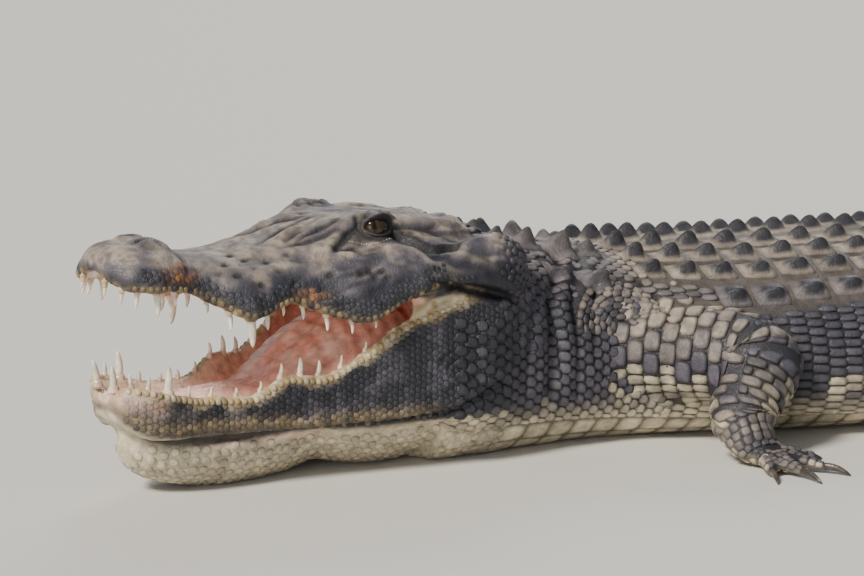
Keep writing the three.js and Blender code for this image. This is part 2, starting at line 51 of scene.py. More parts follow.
mm = 0.001  # sizes below are in millimetres, from the floor under the back of the skull


def clampTo(x, low=0.0, high=1.0):
    return np.clip((x - low) / (high - low), 0, 1)


def smooth(x, low=0.0, high=1.0):
    t = clampTo(x, low, high)
    return t * t * (3 - 2 * t)


def mix(a, b, t):
    return a + (b - a) * t


def hump(x, centre, width):
    return np.exp(-(((x - centre) / width) ** 2))


def station(table, x):
    # the columns of a table between its stations, with no overshoot
    table = np.asarray(table, float)
    keys, values = table[:, 0], table[:, 1:]
    steps = np.diff(values, axis=0) / np.diff(keys)[:, None]
    before, after = steps[:-1], steps[1:]
    both = np.where(before * after > 0, before + after, 1)
    inner = np.where(before * after > 0, 2 * before * after / both, 0)
    flat = np.zeros((1, values.shape[1]))
    slopes = np.vstack([flat, inner, flat])
    x = np.clip(np.asarray(x, float), keys[0], keys[-1])
    i = np.clip(np.searchsorted(keys, x, side="right") - 1, 0, len(keys) - 2)
    span = (keys[i + 1] - keys[i])[..., None]
    t = (x - keys[i])[..., None] / span
    curve = t * t * (3 - 2 * t)
    bow = slopes[i] * span * (1 - t) - slopes[i + 1] * span * t
    return np.moveaxis(mix(values[i], values[i + 1], curve) + t * (1 - t) * bow, -1, 0)


body = {
    "headLength": 430,
    "headTurn": 20,  # degrees to its left
    "firstRow": 244,
    "rowPitch": 48,
    "rows": 18,
    "whorlPitch": 42,
    "whorls": 36,
    "crestMeeting": 18,
    "columnWidth": 45,
    "bellyDrop": 16,
    "pathStep": 10,
    # turns of the back: from, to, degrees
    "bends": [(60, 400, -20), (1000, 1650, -26), (1650, 2600, 62)],
}
tailStart = body["firstRow"] + (body["rows"] - 0.5) * body["rowPitch"]
tailEnd = tailStart + body["whorls"] * body["whorlPitch"] + 45

# along the back: half width, top, height of the widest line, squareness of flank and back
bodyTable = [
    (-90, 118, 242, 108, 0.85, 0.85),
    (0, 136, 244, 104, 0.85, 0.85),
    (70, 142, 229, 98, 0.85, 0.85),
    (150, 152, 213, 90, 0.85, 0.88),
    (230, 176, 204, 84, 0.84, 0.92),
    (330, 204, 201, 80, 0.82, 0.95),
    (520, 232, 202, 80, 0.82, 0.95),
    (760, 234, 204, 80, 0.82, 0.95),
    (950, 202, 199, 80, 0.84, 0.95),
    (1080, 160, 192, 78, 0.88, 0.92),
    (1210, 124, 182, 76, 0.92, 0.92),
    (1380, 99, 175, 70, 0.96, 0.94),
    (1620, 75, 152, 60, 1, 1),
    (1920, 51, 124, 50, 1.05, 1),
    (2220, 31, 92, 38, 1.1, 1),
    (2470, 16, 58, 24, 1.1, 1),
    (2640, 5, 20, 9, 1, 1),
]
# along the head: half width, lip, crown, shoulder of the crown, roof of the mouth
craniumTable = [
    (0, 18, 234, 246, 244, 240),
    (8, 38, 224, 256, 252, 234),
    (26, 57, 219, 265, 258, 230),
    (54, 66, 218, 264, 257, 228),
    (80, 64, 213, 258, 250, 224),
    (100, 61, 205, 248, 240, 218),
    (142, 88, 184, 246, 236, 208),
    (190, 88, 195, 253, 238, 210),
    (228, 104, 180, 262, 242, 206),
    (258, 122, 172, 269, 248, 200),
    (305, 132, 190, 272, 252, 196),
    (350, 138, 204, 268, 250, 196),
    (388, 142, 208, 264, 245, 198),
    (430, 142, 190, 258, 238, 182),
    (480, 130, 172, 238, 220, 172),
]
# along the head: half width, tooth line, lower edge, floor of the mouth
mandibleTable = [
    (12, 18, 116, 90, 106),
    (20, 36, 122, 78, 108),
    (36, 51, 120, 68, 106),
    (62, 58, 113, 62, 98),
    (100, 58, 104, 60, 88),
    (150, 70, 101, 58, 82),
    (190, 79, 118, 55, 83),
    (222, 88, 115, 54, 85),
    (270, 102, 136, 54, 92),
    (300, 113, 158, 54, 100),
    (330, 122, 173, 54, 116),
    (365, 132, 185, 54, 140),
    (388, 138, 195, 54, 160),
    (430, 142, 186, 56, 172),
    (480, 130, 176, 62, 170),
]
# height of the gape between the jaws, along the head
mouthCut = [(-60, 176), (90, 158), (200, 150), (270, 156), (305, 175), (340, 189), (388, 201),
            (430, 188), (520, 182)]


def cutHeight(s):
    return np.interp(s, *zip(*mouthCut))


def heading(u):
    turned = body["headTurn"]
    for start, end, turn in body["bends"]:
        turned = turned + turn * smooth(u, start, end)
    return np.radians(turned)


pathStep = body["pathStep"]
pathLengths = np.arange(0, tailEnd + 2 * pathStep, pathStep)
pathTurns = heading(pathLengths[:-1] + pathStep / 2)
pathX = np.concatenate([[0], np.cumsum(np.cos(pathTurns) * pathStep)])
pathY = np.concatenate([[0], np.cumsum(np.sin(pathTurns) * pathStep)])


def beside(u, out, z):
    # a place by length along the back, distance to the animal's left of the spine, and height
    u, out, z = np.broadcast_arrays(np.asarray(u, float), out, z)
    turn = heading(u)
    i = np.clip(np.floor(u / pathStep).astype(int), 0, len(pathX) - 2)
    t = u / pathStep - i
    x = mix(pathX[i], pathX[i + 1], t) + np.sin(turn) * out
    y = mix(pathY[i], pathY[i + 1], t) - np.cos(turn) * out
    return np.stack([x, y, z], -1)


def bodyPoint(u, angle, grow=0):
    # a place on the hide: angle 0 on the spine, 90 on the left flank, 180 under the belly
    u, angle = np.broadcast_arrays(np.asarray(u, float), np.asarray(angle, float))
    half, top, wide, flank, back = station(bodyTable, u)
    s, c = np.sin(np.radians(angle)), np.cos(np.radians(angle))
    out = np.sign(s) * (half + grow) * np.abs(s) ** flank
    under = wide - (wide + body["bellyDrop"] + grow) * np.abs(c) ** 0.8
    over = wide + (top + grow - wide) * np.abs(c) ** back
    return beside(u, out, np.where(c > 0, over, under))


headCos, headSin = math.cos(math.radians(body["headTurn"])), math.sin(math.radians(body["headTurn"]))


def headPoint(s, left, z):
    # a place in the head: back from the snout's tip, to its left, height
    s, left, z = np.broadcast_arrays(np.asarray(s, float), left, z)
    back = s - body["headLength"]
    return np.stack([back * headCos + left * headSin, back * headSin - left * headCos, z], -1)


def headPlace(points):
    # the other way round: s, left and height of places
    x, y, z = points[..., 0], points[..., 1], points[..., 2]
    return x * headCos + y * headSin + body["headLength"], x * headSin - y * headCos, z


def bodyPlace(points):
    # length along the back and distance out of places, by the nearest step of the path
    xy = points[:, None, :2] - np.stack([pathX, pathY], -1)[None]
    nearest = (xy ** 2).sum(-1).argmin(1)
    turn = heading(pathLengths[nearest])
    near = xy[np.arange(len(points)), nearest]
    along = near[:, 0] * np.cos(turn) + near[:, 1] * np.sin(turn)
    out = near[:, 0] * np.sin(turn) - near[:, 1] * np.cos(turn)
    return pathLengths[nearest] + along, out


eye = {"at": 310, "side": 60, "height": 260, "radius": 17}
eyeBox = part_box("eye_left")
eyeMiddle = np.array((eyeBox[0] + eyeBox[1]) / 2)
shift = eyeMiddle - headPoint(eye["at"], eye["side"], eye["height"]) * mm
shift[2] = 0


def toRow(points):
    return np.asarray(points) * mm + shift


def toLocal(points):
    return (np.asarray(points) - shift) / mm


def meshObject(name, bm):
    mesh = bpy.data.meshes.new(name)
    bm.to_mesh(mesh)
    bm.free()
    made = bpy.data.objects.new(name, mesh)
    bpy.context.scene.collection.objects.link(made)
    return made


def moveVerts(bm, places):
    for vert, place in zip(bm.verts, toRow(places)):
        vert.co = place


def faceOut(bm):
    # the faces of a closed form turned outwards
    bmesh.ops.recalc_face_normals(bm, faces=bm.faces)
    if bm.calc_volume(signed=True) < 0:
        bmesh.ops.reverse_faces(bm, faces=bm.faces)


def wrap(along, around, form):
    # a grid rolled into a closed tube: form(t, turn, radius), t along it, turn round it
    bm = bmesh.new()
    bmesh.ops.create_grid(bm, x_segments=along, y_segments=around, size=0.5)
    flat = np.array([vert.co[:] for vert in bm.verts]) + 0.5
    step = 1 / along
    t = clampTo(flat[:, 0], step, 1 - step)
    radius = np.where((flat[:, 0] < step / 2) | (flat[:, 0] > 1 - step / 2), 0.0, 1.0)
    moveVerts(bm, form(t, flat[:, 1] % 1.0, radius))
    bmesh.ops.remove_doubles(bm, verts=bm.verts, dist=0.02 * mm)
    faceOut(bm)
    return bm


def ringPlace(keys, turn):
    # a smooth closed ring through half its points, which the other half mirrors
    left, z = keys
    count = len(left) - 1
    left = np.concatenate([-left[1:2], left, -left[-2:-1]])
    z = np.concatenate([z[1:2], z, z[-2:-1]])
    far = turn > 0.5
    k = np.where(far, 1 - turn, turn) * 2 * count
    i = np.clip(np.floor(k).astype(int), 0, count - 1)
    f = k - i
    columns = np.arange(len(turn))

    def curve(values):
        a, b, c, d = (values[i + n, columns] for n in range(4))
        bend = (2 * a - 5 * b + 4 * c - d) * f + (3 * (b - c) + d - a) * f * f
        return b + 0.5 * f * ((c - a) + bend)

    return curve(left) * np.where(far, -1, 1), curve(z)


def craniumRing(s):
    half, lip, top, shoulder, roof = station(craniumTable, s)
    inner = np.minimum(20, half * 0.4)
    left = [0 * half, half * 0.34, half * 0.62, half * 0.86, half, half - inner * 0.12,
            half - inner * 0.62, half - inner, (half - inner) * 0.5, 0 * half]
    z = [top, top - 1, shoulder, mix(lip, shoulder, 0.72), mix(lip, shoulder, 0.26), lip,
         lip + 1, mix(lip, roof, 0.5), roof, roof + 2]
    return np.array(left), np.array(z)


def mandibleRing(s):
    half, top, low, floor = station(mandibleTable, s)
    inner = np.minimum(18, half * 0.4)
    left = [0 * half, (half - inner) * 0.55, half - inner, half - inner * 0.66, half - inner * 0.15,
            half, half - 1, half - inner * 0.4, half - inner * 1.1, 0 * half]
    z = [floor, floor, mix(floor, top, 0.5), top - 1, top, mix(low, top, 0.68),
         mix(low, top, 0.3), low + 2, low, low]
    return np.array(left), np.array(z)


def headTube(ring, first, last):
    def form(t, turn, radius):
        s = mix(first, last, t ** 1.15)
        keys = ring(s)
        left, z = ringPlace(keys, turn)
        middle = (keys[1][0] + keys[1][-1]) / 2
        return headPoint(s, left * radius, mix(middle, z, radius))

    return wrap(110, 72, form)


def hideTube(first, last, along, around):
    def form(t, turn, radius):
        u = mix(first, last, t)
        edge = bodyPoint(u, np.where(turn > 0.5, turn - 1, turn) * 360)
        edge[:, 2] = np.maximum(edge[:, 2], 0)
        middle = beside(u, 0, station(bodyTable, u)[1] * 0.4)
        return mix(middle, edge, radius[:, None])

    return wrap(along, around, form)


def lump(s, left, z, size, tilt=0, turn=0):
    # a rounded form in the head
    bm = bmesh.new()
    bmesh.ops.create_uvsphere(bm, u_segments=28, v_segments=18, radius=1)
    p = np.array([vert.co[:] for vert in bm.verts]) * size
    a, b = math.radians(tilt), math.radians(turn)
    x, z2 = p[:, 0] * math.cos(a) + p[:, 2] * math.sin(a), p[:, 2] * math.cos(a) - p[:, 0] * math.sin(a)
    x, y2 = x * math.cos(b) - p[:, 1] * math.sin(b), x * math.sin(b) + p[:, 1] * math.cos(b)
    moveVerts(bm, headPoint(s + x, left + y2, z + z2))
    faceOut(bm)
    return bm


headLumps = [  # s, left, height, half sizes, tilt, turn: both sides
    (56, 17, 253, (30, 18, 15), 0, 0),
    (290, 50, 260, (44, 18, 17), -5, 12),
    (310, 56, 267, (32, 13, 13), 0, 4),
    (310, 78, 243, (30, 9, 8), -3, 5),
    (374, 66, 254, (56, 15, 12), 3, 3),
    (232, 38, 250, (50, 11, 9), -9, 14),
    (418, 116, 212, (58, 26, 40), 0, -4),
]
throatLumps = [
    (168, 0, 50, (140, 60, 54)),
    (345, 0, 70, (150, 104, 76)),
    (440, 0, 62, (120, 132, 66)),
]

# places on a leg: length along the back, distance out, height, radius
arm = {"lengths": [44, 58, 64, 58, 46], "first": -60, "last": 56, "toe": 10, "web": 0.25}
hindLeg = {"lengths": [84, 102, 98, 76], "first": -46, "last": 42, "toe": 13, "web": 0.55}
legs = {
    "leftArm": dict(arm, joints=[(205, 104, 104, 62), (350, 224, 102, 50), (281, 264, 44, 33),
                                 (292, 298, 14, 27)], turn=44),
    "rightArm": dict(arm, joints=[(205, -104, 104, 60), (350, -234, 102, 44), (270, -300, 44, 27),
                                  (256, -344, 14, 24)], turn=-6),
    "leftLeg": dict(hindLeg, joints=[(985, 80, 96, 84), (870, 288, 92, 56), (1000, 352, 42, 34),
                                     (978, 428, 15, 32)], turn=-20),
    "rightLeg": dict(hindLeg, joints=[(985, -80, 96, 84), (885, -290, 92, 56), (1025, -345, 42, 34),
                                      (1012, -424, 15, 32)], turn=-12),
}


class Limb:
    # a rounded line through places, with its thickness there: softness rounds the bends
    def __init__(self, places, radii, flats, softness):
        places, count = np.array(places), len(places) - 1
        samples = np.linspace(0, count, 80 * count)
        reach = np.minimum(1, np.minimum(samples, count - samples) / softness)
        spread = samples[:, None] + np.linspace(-softness, softness, 15) * reach[:, None]
        order = np.arange(count + 1)
        self.samples = samples
        self.line = np.stack([np.interp(spread, order, places[:, k]).mean(1) for k in range(3)], -1)
        self.radii = np.interp(spread, order, radii).mean(1)
        self.flats = np.interp(spread, order, flats).mean(1)
        ahead = np.gradient(self.line, axis=0)
        self.ahead = ahead / np.linalg.norm(ahead, axis=1)[:, None]
        across = np.cross(self.ahead, (0, 0, 1))
        self.across = across / np.linalg.norm(across, axis=1)[:, None]
        self.above = np.cross(self.across, self.ahead)

    def at(self, values, t):
        return np.stack([np.interp(t, self.samples, values[:, k]) for k in range(3)], -1)

    def radius(self, t):
        return np.interp(t, self.samples, self.radii)

    def point(self, t, angle, grow=0):
        # angle 0 above, 90 across
        t, angle = np.broadcast_arrays(np.asarray(t, float), np.asarray(angle, float))
        centre, across, above = (self.at(v, t) for v in (self.line, self.across, self.above))
        radius = self.radius(t) + grow
        flat = np.interp(t, self.samples, self.flats)
        s, c = np.sin(np.radians(angle)), np.cos(np.radians(angle))
        return centre + across * (radius * s)[..., None] + above * (radius * flat * c)[..., None]


def limbTube(limb, along, around):
    # the tube of a limb, with a round end at its tip
    last = limb.samples[-1]
    tipLength = np.linalg.norm(limb.line[-1] - limb.line[-10]) / 9 * len(limb.samples) / last

    def form(t, turn, radius):
        cap = 0.62 * limb.radii[-1] / tipLength
        reach = t * last
        edge = limb.point(np.minimum(reach, last), turn * 360)
        middle = limb.at(limb.line, np.minimum(reach, last))
        ahead = limb.at(limb.ahead, np.minimum(reach, last))
        closing = clampTo(reach, last - cap, last)
        narrow = np.sqrt(np.maximum(0.0, 1 - closing ** 2 * 0.94)) * radius
        out = mix(middle, edge, narrow[:, None])
        return out + ahead * (0.35 * limb.radii[-1] * closing)[:, None]

    return wrap(along, around, form)


def legLimb(leg):
    joints = leg["joints"]
    places = [beside(u, out, z) for u, out, z, radius in joints]
    return Limb(places, [joint[3] for joint in joints], (0.92, 0.94, 0.9, 0.62), 0.22)


def toeLimb(leg, n):
    # a digit from inside the palm to its tip, with its knuckles a little raised
    u, out, z, palm = leg["joints"][-1]
    outward = beside(u, np.sign(out), 0) - beside(u, 0, 0)
    backward = np.array([outward[1], -outward[0], 0]) * -np.sign(out)
    angle = math.radians(leg["turn"] + mix(leg["first"], leg["last"], n / (len(leg["lengths"]) - 1)))
    way = outward * math.cos(angle) + backward * math.sin(angle)
    start = beside(u, out, 0) + way * palm * 0.1
    length = leg["lengths"][n] + palm * 0.4
    size = leg["toe"]
    stops = [(0, 6, 1.08), (0.36, 5, 0.92), (0.46, 4, 1.0), (0.66, 1, 0.84), (0.74, 1, 0.9), (1, -2, 0.62)]
    places = [start + way * length * reach + (0, 0, size * 0.9 + rise) for reach, rise, width in stops]
    return Limb(places, [size * width for reach, rise, width in stops], [0.92] * len(stops), 0.5), way


def join(pieces):
    # closed forms as one bmesh
    whole = bmesh.new()
    for bm in pieces:
        mesh = bpy.data.meshes.new("part")
        bm.to_mesh(mesh)
        bm.free()
        whole.from_mesh(mesh)
        bpy.data.meshes.remove(mesh)
    return whole


def cornerWeb(side):
    # the skin between the jaws at the corner of the mouth
    def form(t, turn, radius):
        s = mix(316, 400, t)
        upper = station(craniumTable, s)[1] + 6
        lower = station(mandibleTable, s)[1] - 6
        half = np.minimum(station(craniumTable, s)[0], station(mandibleTable, s)[0] + 8) - 12
        round = turn * 2 * math.pi
        height = mix(lower, upper, 0.5 + 0.5 * np.cos(round) * radius)
        hollow = 12 * (1 - np.cos(round) ** 2)
        return headPoint(s + hollow * smooth(s, 400, 330), side * (half + 5 * np.sin(round) * radius), height)

    return wrap(18, 20, form)


skinSizes = {
    "voxel": 5.4,
    "smoothing": 3,
    "thinShare": 0.31,  # faces kept away from the fine places
    "fineHead": 440,
    "fineNeck": 236,
    "fineArm": (100, 460),
}

limbs = {name: legLimb(leg) for name, leg in legs.items()}
toes = {name: [toeLimb(leg, n) for n in range(len(leg["lengths"]))] for name, leg in legs.items()}


def footForms(name):
    # digits, and the web between the toes of a hind foot
    leg = legs[name]
    forms = [limbTube(toe, 26, 14) for toe, way in toes[name]]
    for (one, wayOne), (two, wayTwo) in zip(toes[name], toes[name][1:]):
        reach = leg["web"] * one.samples[-1]

        def form(t, turn, radius):
            a, b = one.at(one.line, t * reach), two.at(two.line, t * reach)
            round = turn * 2 * math.pi
            across = mix(a, b, (0.5 + 0.5 * np.sin(round) * radius)[:, None])
            across[:, 2] = 7.5 + 4.5 * np.cos(round) * radius
            return across

        forms.append(wrap(12, 16, form))
    return forms


def skinForms():
    forms = [headTube(craniumRing, 0, 480), headTube(mandibleRing, 12, 480)]
    forms += [hideTube(-60, 1090, 130, 72), hideTube(1070, tailEnd, 170, 48)]
    forms += [lump(*place) for place in throatLumps]
    for side in (1, -1):
        for s, left, z, size, tilt, turn in headLumps:
            forms.append(lump(s, side * left, z, size, tilt, side * turn))
        forms.append(cornerWeb(side))
    for name, limb in limbs.items():
        forms.append(limbTube(limb, 70, 36))
        forms += footForms(name)
    return join(forms)


def applied(obj):
    # the object with its modifiers made part of its mesh
    mesh = bpy.data.meshes.new_from_object(obj.evaluated_get(bpy.context.evaluated_depsgraph_get()))
    obj.modifiers.clear()
    old, obj.data = obj.data, mesh
    bpy.data.meshes.remove(old)
    return obj


skin = meshObject("skin", skinForms())
remesh = skin.modifiers.new("oneFlesh", "REMESH")
remesh.mode = "VOXEL"
remesh.voxel_size = skinSizes["voxel"] * mm
applied(skin)
print("flesh joined", len(skin.data.vertices))


def vectors(items, field):
    # a vector field of all vertices or faces as one array
    values = np.zeros(len(items) * 3)
    items.foreach_get(field, values)
    return values.reshape(-1, 3)


def nearLimb(points, limb, grow):
    # how near places lie to a limb's line, as a share of its thickness there
    apart = points[:, None] - limb.line[None, ::8]
    far = np.linalg.norm(apart, axis=2) / (limb.radii[None, ::8] + grow)
    return far.min(1)


def eyeDistance(s, left, z):
    return np.sqrt((s - eye["at"]) ** 2 + (np.abs(left) - eye["side"]) ** 2 + (z - eye["height"]) ** 2)


def easeVerts(bm, verts):
    bmesh.ops.smooth_vert(bm, verts=verts, factor=0.5, use_axis_x=True, use_axis_y=True, use_axis_z=True)


def refine(bm, chosen):
    # the chosen faces in four, with the new corners eased into the form
    edges = [edge for edge in bm.edges if chosen[edge.verts[0].index] and chosen[edge.verts[1].index]]
    made = bmesh.ops.subdivide_edges(bm, edges=edges, cuts=1, use_grid_fill=True)
    fresh = {item for item in made["geom_inner"] if isinstance(item, bmesh.types.BMVert)}
    around = {vert for new in fresh for edge in new.link_edges for vert in edge.verts}
    easeVerts(bm, list(around))
    bm.verts.index_update()


def thinSkin(obj, fine, share):
    # fewer faces away from the fine places
    group = obj.vertex_groups.new(name="coarse")
    group.add([int(i) for i in np.flatnonzero(~fine)], 1.0, "REPLACE")
    thin = obj.modifiers.new("thin", "DECIMATE")
    thin.ratio = share
    thin.vertex_group = "coarse"
    applied(obj)
    obj.vertex_groups.clear()


def finePlaces(points):
    # the head, and what the camera sees best of the neck and the near arm
    s, left, z = headPlace(points)
    u, out = bodyPlace(points)
    neck = (u < skinSizes["fineNeck"]) & (out > 0)
    first, last = skinSizes["fineArm"]
    nearArm = (nearLimb(points, limbs["leftArm"], 26) < 1) & (u < last) & (u > first)
    return (s < skinSizes["fineHead"]) | neck | nearArm


def fineSkin(obj):
    fine = finePlaces(toLocal(vectors(obj.data.vertices, "co")))
    thinSkin(obj, fine, skinSizes["thinShare"])
    bm = bmesh.new()
    bm.from_mesh(obj.data)
    for step in range(skinSizes["smoothing"]):
        easeVerts(bm, bm.verts)
    points = toLocal([vert.co[:] for vert in bm.verts])
    s, left, z = headPlace(points)
    cut = cutHeight(s)
    cranium = station(craniumTable, s)
    floored = (np.abs(left) < station(mandibleTable, s)[0] - 24) & (z > cut - 60) & (z < cut + 6)
    roofed = (z < cranium[4] + 3) & (z > cut) & (np.abs(left) < cranium[0] - 18)
    refine(bm, (s < skinSizes["fineHead"]) & ~(floored & (s > 20) & (s < 400)) & ~roofed)
    points = toLocal([vert.co[:] for vert in bm.verts])
    s, left, z = headPlace(points)
    nostril = (np.abs(s - 56) < 20) & (np.abs(left) < 28) & (z > 255)
    refine(bm, (eyeDistance(s, left, z) < 32) | nostril)
    bmesh.ops.triangulate(bm, faces=[face for face in bm.faces if len(face.verts) > 4])
    bm.to_mesh(obj.data)
    bm.free()
    obj.data.polygons.foreach_set("use_smooth", [True] * len(obj.data.polygons))


fineSkin(skin)
print("skin refined", len(skin.data.vertices))


# folds of the hide on both sides: places, rise (a groove below zero), width
strokes = {
    # of the head: s, left, height
    "head": [
        ([(316, 70, 259), (325, 79, 252), (334, 92, 247), (344, 106, 243), (358, 112, 240), (382, 110, 237)],
         -13.0, 5.6),
        ([(252, 74, 247), (266, 82, 244), (273, 92, 244), (284, 96, 245), (297, 95, 248)], -5.5, 3.4),
        ([(254, 84, 241), (280, 95, 245), (311, 98, 246), (328, 109, 239), (339, 125, 228), (358, 134, 220),
          (378, 141, 212)], 3.2, 3.2),
        ([(180, 28, 251), (212, 18, 257), (243, 10, 264), (268, 4, 269)], -4.2, 3.4),
        ([(196, 30, 252), (222, 28, 259), (240, 31, 263), (266, 26, 270)], 3.4, 3.6),
        ([(210, 40, 256), (234, 33, 262), (254, 28, 268), (280, 16, 271)], -4.0, 3.2),
        ([(222, 46, 256), (242, 46, 263), (254, 48, 268), (272, 50, 273)], -3.6, 3.0),
        ([(248, 76, 244), (262, 70, 252), (270, 68, 256), (288, 65, 264)], -5.0, 4.0),
        ([(332, 133, 214), (345, 139, 207), (373, 134, 199), (395, 135, 193), (424, 133, 187)], -7.0, 4.4),
        ([(320, 70, 273), (350, 70, 268), (376, 76, 262), (396, 85, 250)], 3.4, 5.0),
        ([(330, 70, 262), (352, 78, 258), (377, 84, 251), (392, 92, 243)], -3.0, 3.6),
        ([(350, 110, 243), (380, 130, 233), (412, 140, 217), (450, 138, 200)], 2.2, 4.0),
        ([(305, 128, 203), (342, 135, 212), (379, 139, 210), (427, 141, 198), (470, 134, 184)], 5.0, 6.5),
        ([(350, 136, 198), (379, 138, 199), (418, 140, 188), (455, 137, 174), (480, 132, 166)], -7.0, 4.6),
        ([(268, 60, 266), (250, 58, 259), (229, 52, 253), (205, 44, 248)], -3.4, 3.0),
        ([(272, 8, 271), (242, 14, 266), (217, 18, 259)], -2.4, 3.0),
        ([(296, 70, 274), (304, 56, 281), (302, 40, 278)], -2.2, 2.6),
        ([(318, 70, 275), (324, 56, 281), (320, 40, 278)], -2.2, 2.6),
        ([(284, 72, 268), (288, 56, 276), (286, 42, 275)], -2.0, 2.4),
        ([(86, 6, 261), (90, 22, 258), (90, 36, 252), (86, 48, 243), (80, 56, 232)], -3.4, 4.0),
        ([(30, 26, 67), (95, 50, 58), (203, 74, 56), (277, 97, 57), (351, 122, 63), (419, 139, 90),
          (470, 132, 112)], -6.0, 5.0),
        ([(30, 30, 84), (95, 54, 72), (203, 80, 68), (277, 102, 68), (351, 126, 76), (419, 141, 102)],
         3.0, 7.0),
        ([(120, 56, 238), (160, 66, 236), (200, 70, 234), (240, 84, 232)], 2.4, 6.0),
        ([(346, 60, 267), (372, 66, 264), (402, 72, 258), (424, 78, 250)], 3.4, 6.0),
        ([(424, 20, 257), (428, 50, 255), (424, 78, 249)], 3.0, 6.0),
        ([(436, 14, 250), (438, 50, 247), (436, 84, 240)], -5.0, 6.0),
        ([(300, 10, 272), (340, 14, 268), (390, 18, 264)], -1.8, 8.0),
    ],
    # of the neck: length along the back, out, height
    "neck": [
        ([(148, 47, 208), (95, 110, 188), (74, 127, 165), (66, 142, 107), (60, 138, 55)], -13.0, 9.0),
        ([(60, 99, 203), (48, 118, 180), (36, 137, 143), (26, 138, 75)], -4.0, 4.5),
        ([(30, 112, 190), (16, 136, 150), (6, 142, 100)], -3.0, 4.0),
        ([(186, 41, 205), (135, 98, 188), (104, 130, 164), (100, 146, 112), (98, 140, 60)], -6.0, 5.5),
        ([(206, 60, 200), (160, 106, 180), (130, 134, 150), (124, 146, 105)], -4.5, 5.0),
        ([(220, 120, 180), (232, 160, 150), (236, 176, 120), (228, 176, 80)], -5.0, 7.0),
    ],
}
pits = [  # dimples of the snout and cheek: s, left, height
    (156, 46, 239), (157, 63, 233), (135, 65, 228), (179, 54, 236), (183, 71, 229), (130, 50, 237),
    (209, 69, 235), (156, 78, 218), (203, 52, 239), (118, 58, 232), (261, 108, 222), (269, 110, 225),
    (274, 113, 218), (282, 114, 224), (286, 119, 218), (227, 80, 236), (232, 92, 222), (194, 84, 216),
    (170, 82, 208), (146, 34, 243),
]
# wrinkles in rings, on the angle of the jaw and over the shoulder
swirl = {"at": (368, 132, 112), "reach": 40, "wave": 8.0, "height": 0.9}
shoulder = {"at": (168, 146, 136), "first": 10, "last": 66, "wave": 8.2, "height": 1.6}
slit = {"depth": 9, "shade": 1.7}  # the shade of a groove past this depth is wider than the groove
# teeth of one side: place along the head, length
upperTeeth = [(6, 12), (16, 14), (28, 16), (46, 24), (66, 14), (106, 12), (124, 18), (143, 30),
              (162, 18), (182, 12), (204, 15), (226, 17), (248, 13), (272, 10)]
lowerTeeth = [(16, 24), (26, 14), (40, 14), (60, 28), (84, 11), (110, 9), (136, 9), (162, 10),
              (184, 15), (204, 20), (224, 17), (248, 12), (274, 10)]


plainTree = BVHTree.FromObject(skin, bpy.context.evaluated_depsgraph_get())


def onSkin(samples, inNeck):
    # places by s, left and height, or by u, out and height, moved to the nearest skin
    points = beside(*samples.T) if inNeck else headPoint(*samples.T)
    found = toLocal([plainTree.find_nearest(Vector(point))[0] for point in toRow(points)])
    if inNeck:
        return np.stack([*bodyPlace(found), found[:, 2]], -1)
    return np.stack(headPlace(found), -1)


def lineDistance(points, places, inNeck):
    # distance to a smooth line through places on the skin, and how far along it from 0 to 1
    table = [(k, *place) for k, place in enumerate(places)]
    steps = np.linspace(0, len(places) - 1, 20 + 60 * len(places))
    samples = onSkin(station(table, steps).T, inNeck)
    low, high = samples.min(0) - 25, samples.max(0) + 25
    near = np.flatnonzero(((points > low) & (points < high)).all(1))
    gaps = np.linalg.norm(points[near, None] - samples[None], axis=2)
    return near, gaps.min(1), gaps.argmin(1) / (len(samples) - 1)


def strokeRise(points, lines, inNeck=False):
    rise, groove, ridge = np.zeros(len(points)), np.zeros(len(points)), np.zeros(len(points))
    for places, height, width in lines:
        near, gap, along = lineDistance(points, places, inNeck)
        ends = np.sin(np.pi * np.clip(along, 0.02, 0.98)) ** 0.4
        shape = height * np.exp(-((gap / width) ** 2)) * ends
        rise[near] += shape
        spread = width * (slit["shade"] if -height > slit["depth"] else 1)
        groove[near] += np.maximum(0, -height) * np.exp(-((gap / spread) ** 2)) * ends
        ridge[near] += np.maximum(0, shape)
    return rise, groove, ridge


def noiseAt(points, size, seed=0.0):
    offset = Vector((seed, seed * 1.7, -seed))
    return np.array([noise.noise(Vector(p) / size + offset) for p in points])


lids = {
    "turn": 16,  # degrees the opening is turned forwards
    "corner": 62,  # degrees from its middle to a corner
    "upper": 27,
    "lower": 30,
    "thin": 3.4,
    "thick": 7.0,
    "clear": 1.8,  # least thickness over the eyeball
    "reach": 40,
}


